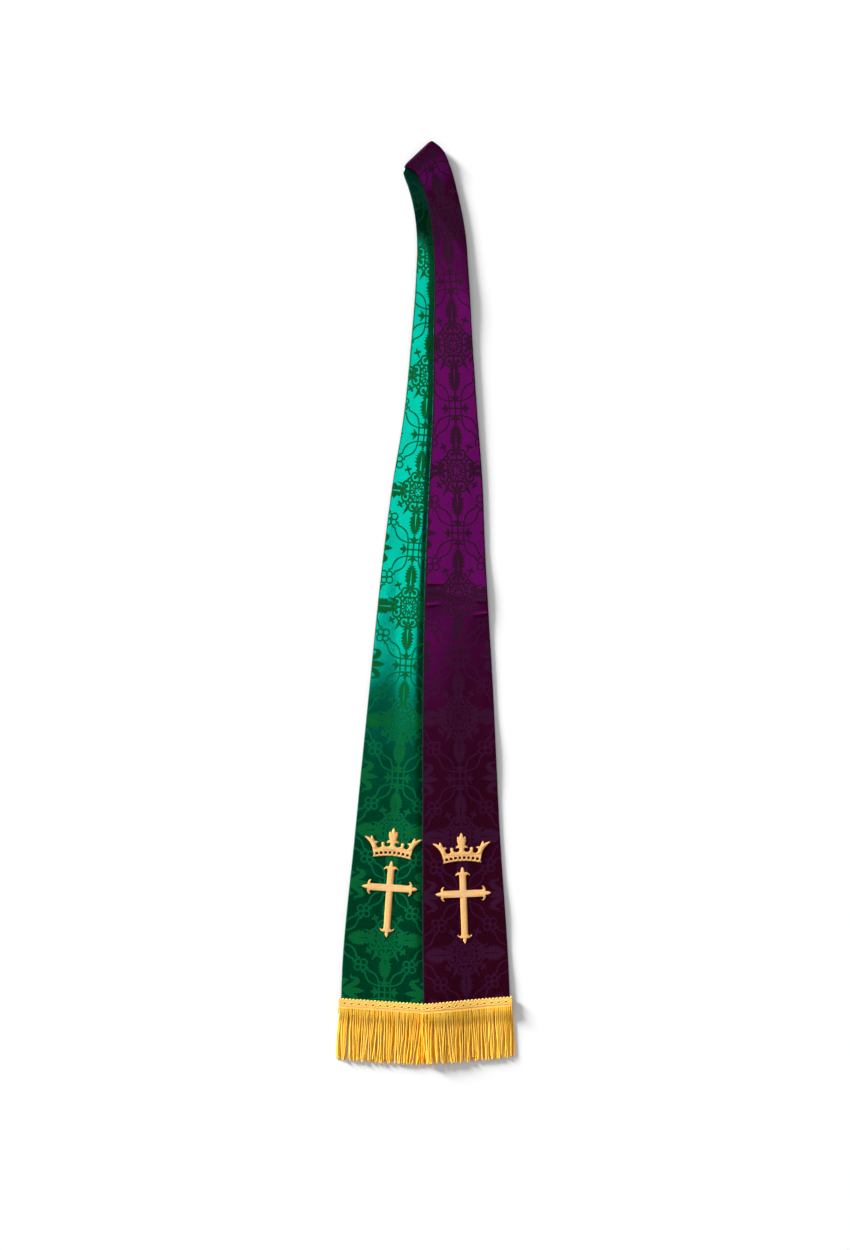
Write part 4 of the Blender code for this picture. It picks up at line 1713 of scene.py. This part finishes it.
@dataclass
class Fringe:
    """Woven header folded over a hem, its gimp and ribbon, and the twisted cords below it.

    picot is the length of one loop of the header's top row, eye that of one crossing of its waved
    cords. ribbon_down and seam_rows are distances from the header's top.
    """

    shop: Workshop
    limb: Limb
    # The lower layers carry lower shades: painted shade beneath the layers above
    layers: tuple[Layer, ...] = (
        Layer(66, 0.95, 0.92, 0.0, 0.10, 0.20, False),
        Layer(60, 2.30, 2.10, 0.4, 0.35, 0.66, True),
        Layer(50, 3.50, 2.95, 0.0, 0.70, 0.92, True),
    )
    cord: float = 0.84 * MM
    picot: float = 5.2 * MM
    eye: float = 20.8 * MM
    hang: Hang = Hang()
    cord_top: float = HEADER_TOP + 10.6 * MM
    slot: float = 3 * MM
    locks: int = 21
    bend: float = 0.42 * MM
    seed: int = 23
    ribbon_down: float = 9.3 * MM
    seam_rows: tuple[float, float] = (3.3 * MM, 7.4 * MM)

    def face(self, height: Array | float) -> Array:
        """Offset from the green face, at a height above the side of the header that shows."""
        side = STACK + GAP + HEADER_TAPE + np.asarray(height, float)
        return side if self.limb is Limb.UPPER else STACK - side

    def reach(self, share: float) -> float:
        """Half the width at the header, with this share of its overhang."""
        return float(self.shop.lay.half_width(HEADER_TOP)) + HEADER_OVERHANG * share

    @staticmethod
    def rounded(corners: Sequence[tuple[float, float]], radius: float) -> Array:
        """Profile with its corners rounded off.

        Args:
            corners: Its corners.
            radius: How far from a corner the rounding starts.

        Returns:
            Points of the closed profile.
        """
        points = np.array(corners)
        result = []
        for k, corner in enumerate(points):
            before, after = points[k - 1] - corner, points[(k + 1) % len(points)] - corner
            before = corner + before / np.linalg.norm(before) * radius
            after = corner + after / np.linalg.norm(after) * radius
            for t in (0.0, 0.5, 1.0):
                result.append(before * (1 - t) ** 2 + corner * 2 * t * (1 - t) + after * t**2)
        return np.array(result)

    def tape(self) -> bpy.types.Mesh:
        """The folded tape, lofted across the limb.

        Returns:
            Its mesh.
        """
        outer, inner = (-HEADER_TAPE - GAP, STACK + GAP + HEADER_TAPE), (-GAP, STACK + GAP)
        slot_end = HEADER_END - self.slot
        profile = self.rounded((
            (HEADER_TOP, outer[0]), (HEADER_END, outer[0]), (HEADER_END, outer[1]), (HEADER_TOP, outer[1]),
            (HEADER_TOP, inner[1]), (slot_end, inner[1]), (slot_end, inner[0]), (HEADER_TOP, inner[0]),
        ), self.bend)
        reach = self.reach(1.0)
        across = np.linspace(-reach, reach, 90)
        rings = self.shop.lay.point(self.limb, profile[None, :, 1], across[:, None], profile[None, :, 0])
        return self.shop.loft(f"tape_{self.limb.value}", rings, 0.5)

    def ribbon(self) -> bpy.types.Mesh:
        """The smooth bright band across the header, as a low rounded bar.

        Returns:
            Its mesh.
        """
        reach = self.reach(0.9)
        across = np.linspace(-reach, reach, 120)
        turns = np.linspace(0.0, 2 * math.pi, 14, endpoint=False)
        wide = np.sign(np.cos(turns)) * np.abs(np.cos(turns)) ** 0.8
        run = HEADER_TOP + self.ribbon_down + 1.9 * MM * wide
        height = 0.16 * MM + 0.5 * MM * np.sin(turns)
        rings = self.shop.lay.point(self.limb, self.face(height)[None, :], across[:, None], run[None, :])
        return self.shop.loft(f"ribbon_{self.limb.value}", rings, 0.8)

    def gimp(self) -> tuple[list[Array], list[float]]:
        """Paths of the looped and waved cords of the header, and their shades.

        Returns:
            Points of each path, and a shade for each path.
        """
        lay, reach = self.shop.lay, self.reach(0.92)
        across = np.linspace(-reach, reach, 520)
        loop = np.abs(np.sin(math.pi * across / self.picot)) ** 1.5 * MM
        wave = 2.0 * MM * np.sin(2 * math.pi * across / self.eye) ** 3
        # Distance down from the header's top, height in millimetres and shade, which is lower on the lower
        # rows as painted shade
        lines = (
            (-0.1 * MM - 2.7 * loop, 0.25, 0.9),
            (0.1 * MM - 1.3 * loop, 0.15, 0.7),
            (0.9 * MM + 0 * across, 0.30, 0.9),
            (2.2 * MM + 0 * across, 0.20, 0.5),
            (4.0 * MM + wave, 0.42, 1.0),
            (4.0 * MM - wave, 0.34, 0.8),
            (5.8 * MM + 0 * across, 0.20, 0.5),
            (7.0 * MM + 0 * across, 0.30, 0.9),
        )
        rows = [(HEADER_TOP + down, height * MM, shade) for down, height, shade in lines]
        paths = [lay.point(self.limb, self.face(height), across, run) for run, height, _ in rows]
        return paths, [shade for _, _, shade in rows]

    def cords(self) -> tuple[list[Array], list[Array]]:
        """Paths of the cords, which hang in loose locks, and their shades.

        Returns:
            Points of each path, and a shade for each point.
        """
        hang, lay, reach = self.hang, self.shop.lay, self.reach(0.75)
        draw = np.random.default_rng(self.seed + (self.limb is Limb.UPPER))
        share = np.array([
            0.0, 0.04, 0.09, 0.15, 0.22, 0.3, 0.38, 0.46, 0.54, 0.62, 0.7, 0.78, 0.86, 0.93, 1.0])
        half_turns = share * math.pi
        locks = np.sort(draw.uniform(-reach, reach, self.locks))
        tones = draw.normal(0.0, hang.tone, len(locks))
        paths, shades = [], []
        for layer in self.layers:
            spread = 2 * reach / layer.cords
            for k in range(layer.cords):
                middle = k + 0.5 + layer.stagger
                start = -reach + spread * (middle + draw.uniform(-hang.scatter, hang.scatter))
                start = float(np.clip(start, -reach, reach))
                out = start / reach
                lock = int(np.argmin(np.abs(locks - start)))
                lean = draw.normal(0.0, hang.lean) * MM
                lean = lean + (locks[lock] - start) * draw.uniform(0.0, layer.pull)
                end = FRINGE_END - (hang.tip + abs(draw.normal(0.0, hang.tip_scatter))) * MM
                end = end - abs(out) ** 4 * hang.corner * MM
                run = self.cord_top + (end - self.cord_top) * share
                swings = half_turns * draw.uniform(*hang.swings)
                sway = np.sin(swings + draw.uniform(0, hang.turn)) * draw.uniform(*hang.sway) * MM
                outward = np.sin(half_turns) * out**5 * hang.flare * MM
                across = start + lean * share**1.4 + sway * np.minimum(share * 3, 1.0) + outward
                place = lay.plan(self.limb, across, run)
                rest = lay.rest_height(self.limb, place)
                thin = 1.0 - hang.thinned * abs(out) ** 8
                free = rest + (layer.high + (layer.low - layer.high) * smooth(share)) * thin * MM
                roots = lay.base(self.limb, across, run)[:, 2]
                above = self.face(hang.root_above * MM)
                side = above if layer.above else STACK - self.face(hang.root_below * MM)
                root = roots + self.limb.side * side
                fall = smooth((run - HEADER_END + self.slot) / (hang.drop * MM))
                bends = half_turns * draw.uniform(*hang.bends)
                lift = np.sin(bends + draw.uniform(0, hang.turn)) * hang.arch * MM * share
                height = np.maximum(root * (1 - fall) + free * fall + lift, rest + self.cord)
                paths.append(np.concatenate([place, height[:, None]], axis=1) + lay.shift)
                gleams = share * draw.uniform(*hang.gleams)
                gleam = np.sin(gleams + draw.uniform(0, hang.turn)) * hang.gleam
                # Painted shade by layer, darker for the layers beneath; the lock's tone and the cord's own
                # tone stray at random, and gleam is a painted sheen along it
                shade = draw.normal(layer.shade + tones[lock], hang.own) + gleam
                shades.append(np.clip(shade, 0.02, 1.05))
        return paths, shades

    def seams(self) -> tuple[list[Array], list[float]]:
        """Short stitches that hold the header, in two rows.

        Returns:
            Points of each stitch, and a shade for each stitch.
        """
        lay, reach = self.shop.lay, self.reach(0.5)
        share = np.linspace(0.0, 1.0, 5)
        height = 0.1 * MM + 0.34 * MM * np.sin(math.pi * share)
        paths = []
        for down in self.seam_rows:
            for start in np.arange(-reach, reach - 2.4 * MM, 3.1 * MM):
                across = start + 2.2 * MM * share
                run = HEADER_TOP + down + 0 * across
                paths.append(lay.point(self.limb, self.face(height), across, run))
        return paths, [0.4] * len(paths)

    def build(self) -> list[bpy.types.Object]:
        """Make the fringe and put it in its node's place.

        Returns:
            Its pieces.
        """
        shop, limb = self.shop, self.limb.value
        header = shop.piece(f"fringe_header_{limb}", self.tape(), TAPE)
        pieces = [header, shop.piece(f"fringe_ribbon_{limb}", self.ribbon(), RIBBON)]
        for name, (paths, shades), radius, sides, finish in (
            ("gimp", self.gimp(), 0.85 * MM, 8, GIMP),
            ("cords", self.cords(), self.cord, 7, CORD),
            ("seams", self.seams(), 0.16 * MM, 5, TAPE),
        ):
            mesh = shop.lines(name, paths, shades)
            pieces.append(shop.spun(f"fringe_{name}_{limb}", mesh, radius, sides, finish))
            log.info("fringe_%s_%s: %d strands", name, limb, len(paths))
        for obj in pieces:
            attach(obj, "root")
        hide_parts(f"fringe_{limb}")
        return pieces


@dataclass
class Studio:
    """Paper, lights and the camera straight above.

    softbox_left and softbox_right are where each softbox starts and ends along the stole. The sky is
    horizon bright up to the first height in glow, and dark above the second. Angles are in degrees.
    """

    shop: Workshop
    camera_height: float = 2.6
    aim: tuple[float, float] = (0.0, -0.030)
    frame_height: float = 1.82
    softbox_height: float = 3.6
    softbox_left: tuple[float, float] = (-0.225, 1.37)
    softbox_right: tuple[float, float] = (0.06, 1.20)
    softbox_width: float = 1.1
    softbox_radiance: float = 1.27
    horizon: float = 0.76
    glow: tuple[float, float] = (0.62, 0.84)
    sun: float = 10.4
    sun_elevation: float = 11.5
    sun_angle: float = 13.0
    sun_heading: float = -38.0
    sensor: float = 36.0
    paper: float = 4.0

    def floor(self) -> None:
        """The paper, level with the object's lowest point."""
        bm = bmesh.new()
        bmesh.ops.create_grid(bm, x_segments=4, y_segments=4, size=self.paper)
        mesh = bpy.data.meshes.new("paper")
        bm.to_mesh(mesh)
        bm.free()
        self.shop.piece("paper", mesh, Paper())

    def sky(self) -> None:
        """Light from all round, bright near the horizon and dark overhead."""
        world = bpy.data.worlds.new("studio")
        world.use_nodes = True
        tree = world.node_tree
        place = tree.nodes.new("ShaderNodeTexCoord")
        parts = tree.nodes.new("ShaderNodeSeparateXYZ")
        ramp = tree.nodes.new("ShaderNodeMapRange")
        ramp.interpolation_type = "SMOOTHSTEP"
        values = (*self.glow, self.horizon, 0.0)
        for key, value in zip(("From Min", "From Max", "To Min", "To Max"), values):
            ramp.inputs[key].default_value = value
        light = tree.nodes["Background"]
        light.inputs["Color"].default_value = (1.0, 1.0, 1.0, 1.0)
        tree.links.new(place.outputs["Generated"], parts.inputs["Vector"])
        tree.links.new(parts.outputs["Z"], ramp.inputs["Value"])
        tree.links.new(ramp.outputs["Result"], light.inputs["Strength"])
        bpy.context.scene.world = world

    def lamp(self, name: str, place: Sequence[float], size: Sequence[float], radiance: float) -> None:
        """A rectangular soft light that looks straight down.

        Args:
            name: Its name.
            place: Its middle.
            size: Its width and height.
            radiance: Its brightness.
        """
        data = bpy.data.lights.new(name, "AREA")
        data.shape = "RECTANGLE"
        data.size, data.size_y = size
        data.energy = radiance * math.pi * size[0] * size[1]
        lamp = bpy.data.objects.new(name, data)
        lamp.location = place
        lamp.visible_camera = False
        bpy.context.scene.collection.objects.link(lamp)

    def window(self) -> None:
        """Low light from the upper left, which casts the soft shadow to the lower right."""
        data = bpy.data.lights.new("window", "SUN")
        data.energy = self.sun
        data.angle = math.radians(self.sun_angle)
        lamp = bpy.data.objects.new("window", data)
        slope = math.radians(self.sun_elevation - 90.0)
        lamp.rotation_euler = (0.0, slope, math.radians(self.sun_heading))
        bpy.context.scene.collection.objects.link(lamp)

    def camera(self) -> None:
        """The camera, straight above the stole."""
        data = bpy.data.cameras.new("camera")
        data.sensor_width = self.sensor
        data.lens = self.sensor * self.camera_height / self.frame_height
        camera = bpy.data.objects.new("camera", data)
        camera.location = (*self.aim, self.camera_height)
        bpy.context.scene.collection.objects.link(camera)
        bpy.context.scene.camera = camera

    def build(self) -> None:
        """Set up the studio."""
        self.floor()
        self.sky()
        for name, side, (start, end) in (
            ("softbox_left", -0.5, self.softbox_left), ("softbox_right", 0.5, self.softbox_right),
        ):
            self.lamp(name, (side * self.softbox_width, (start + end) / 2, self.softbox_height),
                      (self.softbox_width, end - start), self.softbox_radiance)
        self.window()
        self.camera()
        bpy.context.scene.view_settings.view_transform = "Standard"
        log.info("studio ready")


def cut_area(lay: Lay) -> float:
    """Flat area of one panel.

    Args:
        lay: How the stole lies.

    Returns:
        The area in square metres.
    """
    runs = np.linspace(0.0, HEM, 400)
    widths = 2 * lay.half_width(runs)
    return float(np.sum((widths[1:] + widths[:-1]) / 2 * np.diff(runs)))


def corners(bounds: Sequence[Sequence[float]]) -> list[list[float]]:
    """Lowest and highest corner of a box as plain lists."""
    return [[float(v) for v in corner] for corner in bounds]


def main() -> None:
    """Build the stole and the studio."""
    logging.basicConfig(level=logging.INFO, format="%(name)s: %(message)s")
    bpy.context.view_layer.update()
    shop = Workshop()
    for limb in (Limb.LOWER, Limb.UPPER):
        for face in Face:
            Panel(shop, limb, face).build()
    fringes = {limb: Fringe(shop, limb).build() for limb in Limb}
    devices = {limb: crown_device(shop, limb).build() + cross_device(shop, limb).build() for limb in Limb}
    area = cut_area(shop.lay)
    Studio(shop).build()


if __name__ == "__main__":
    main()
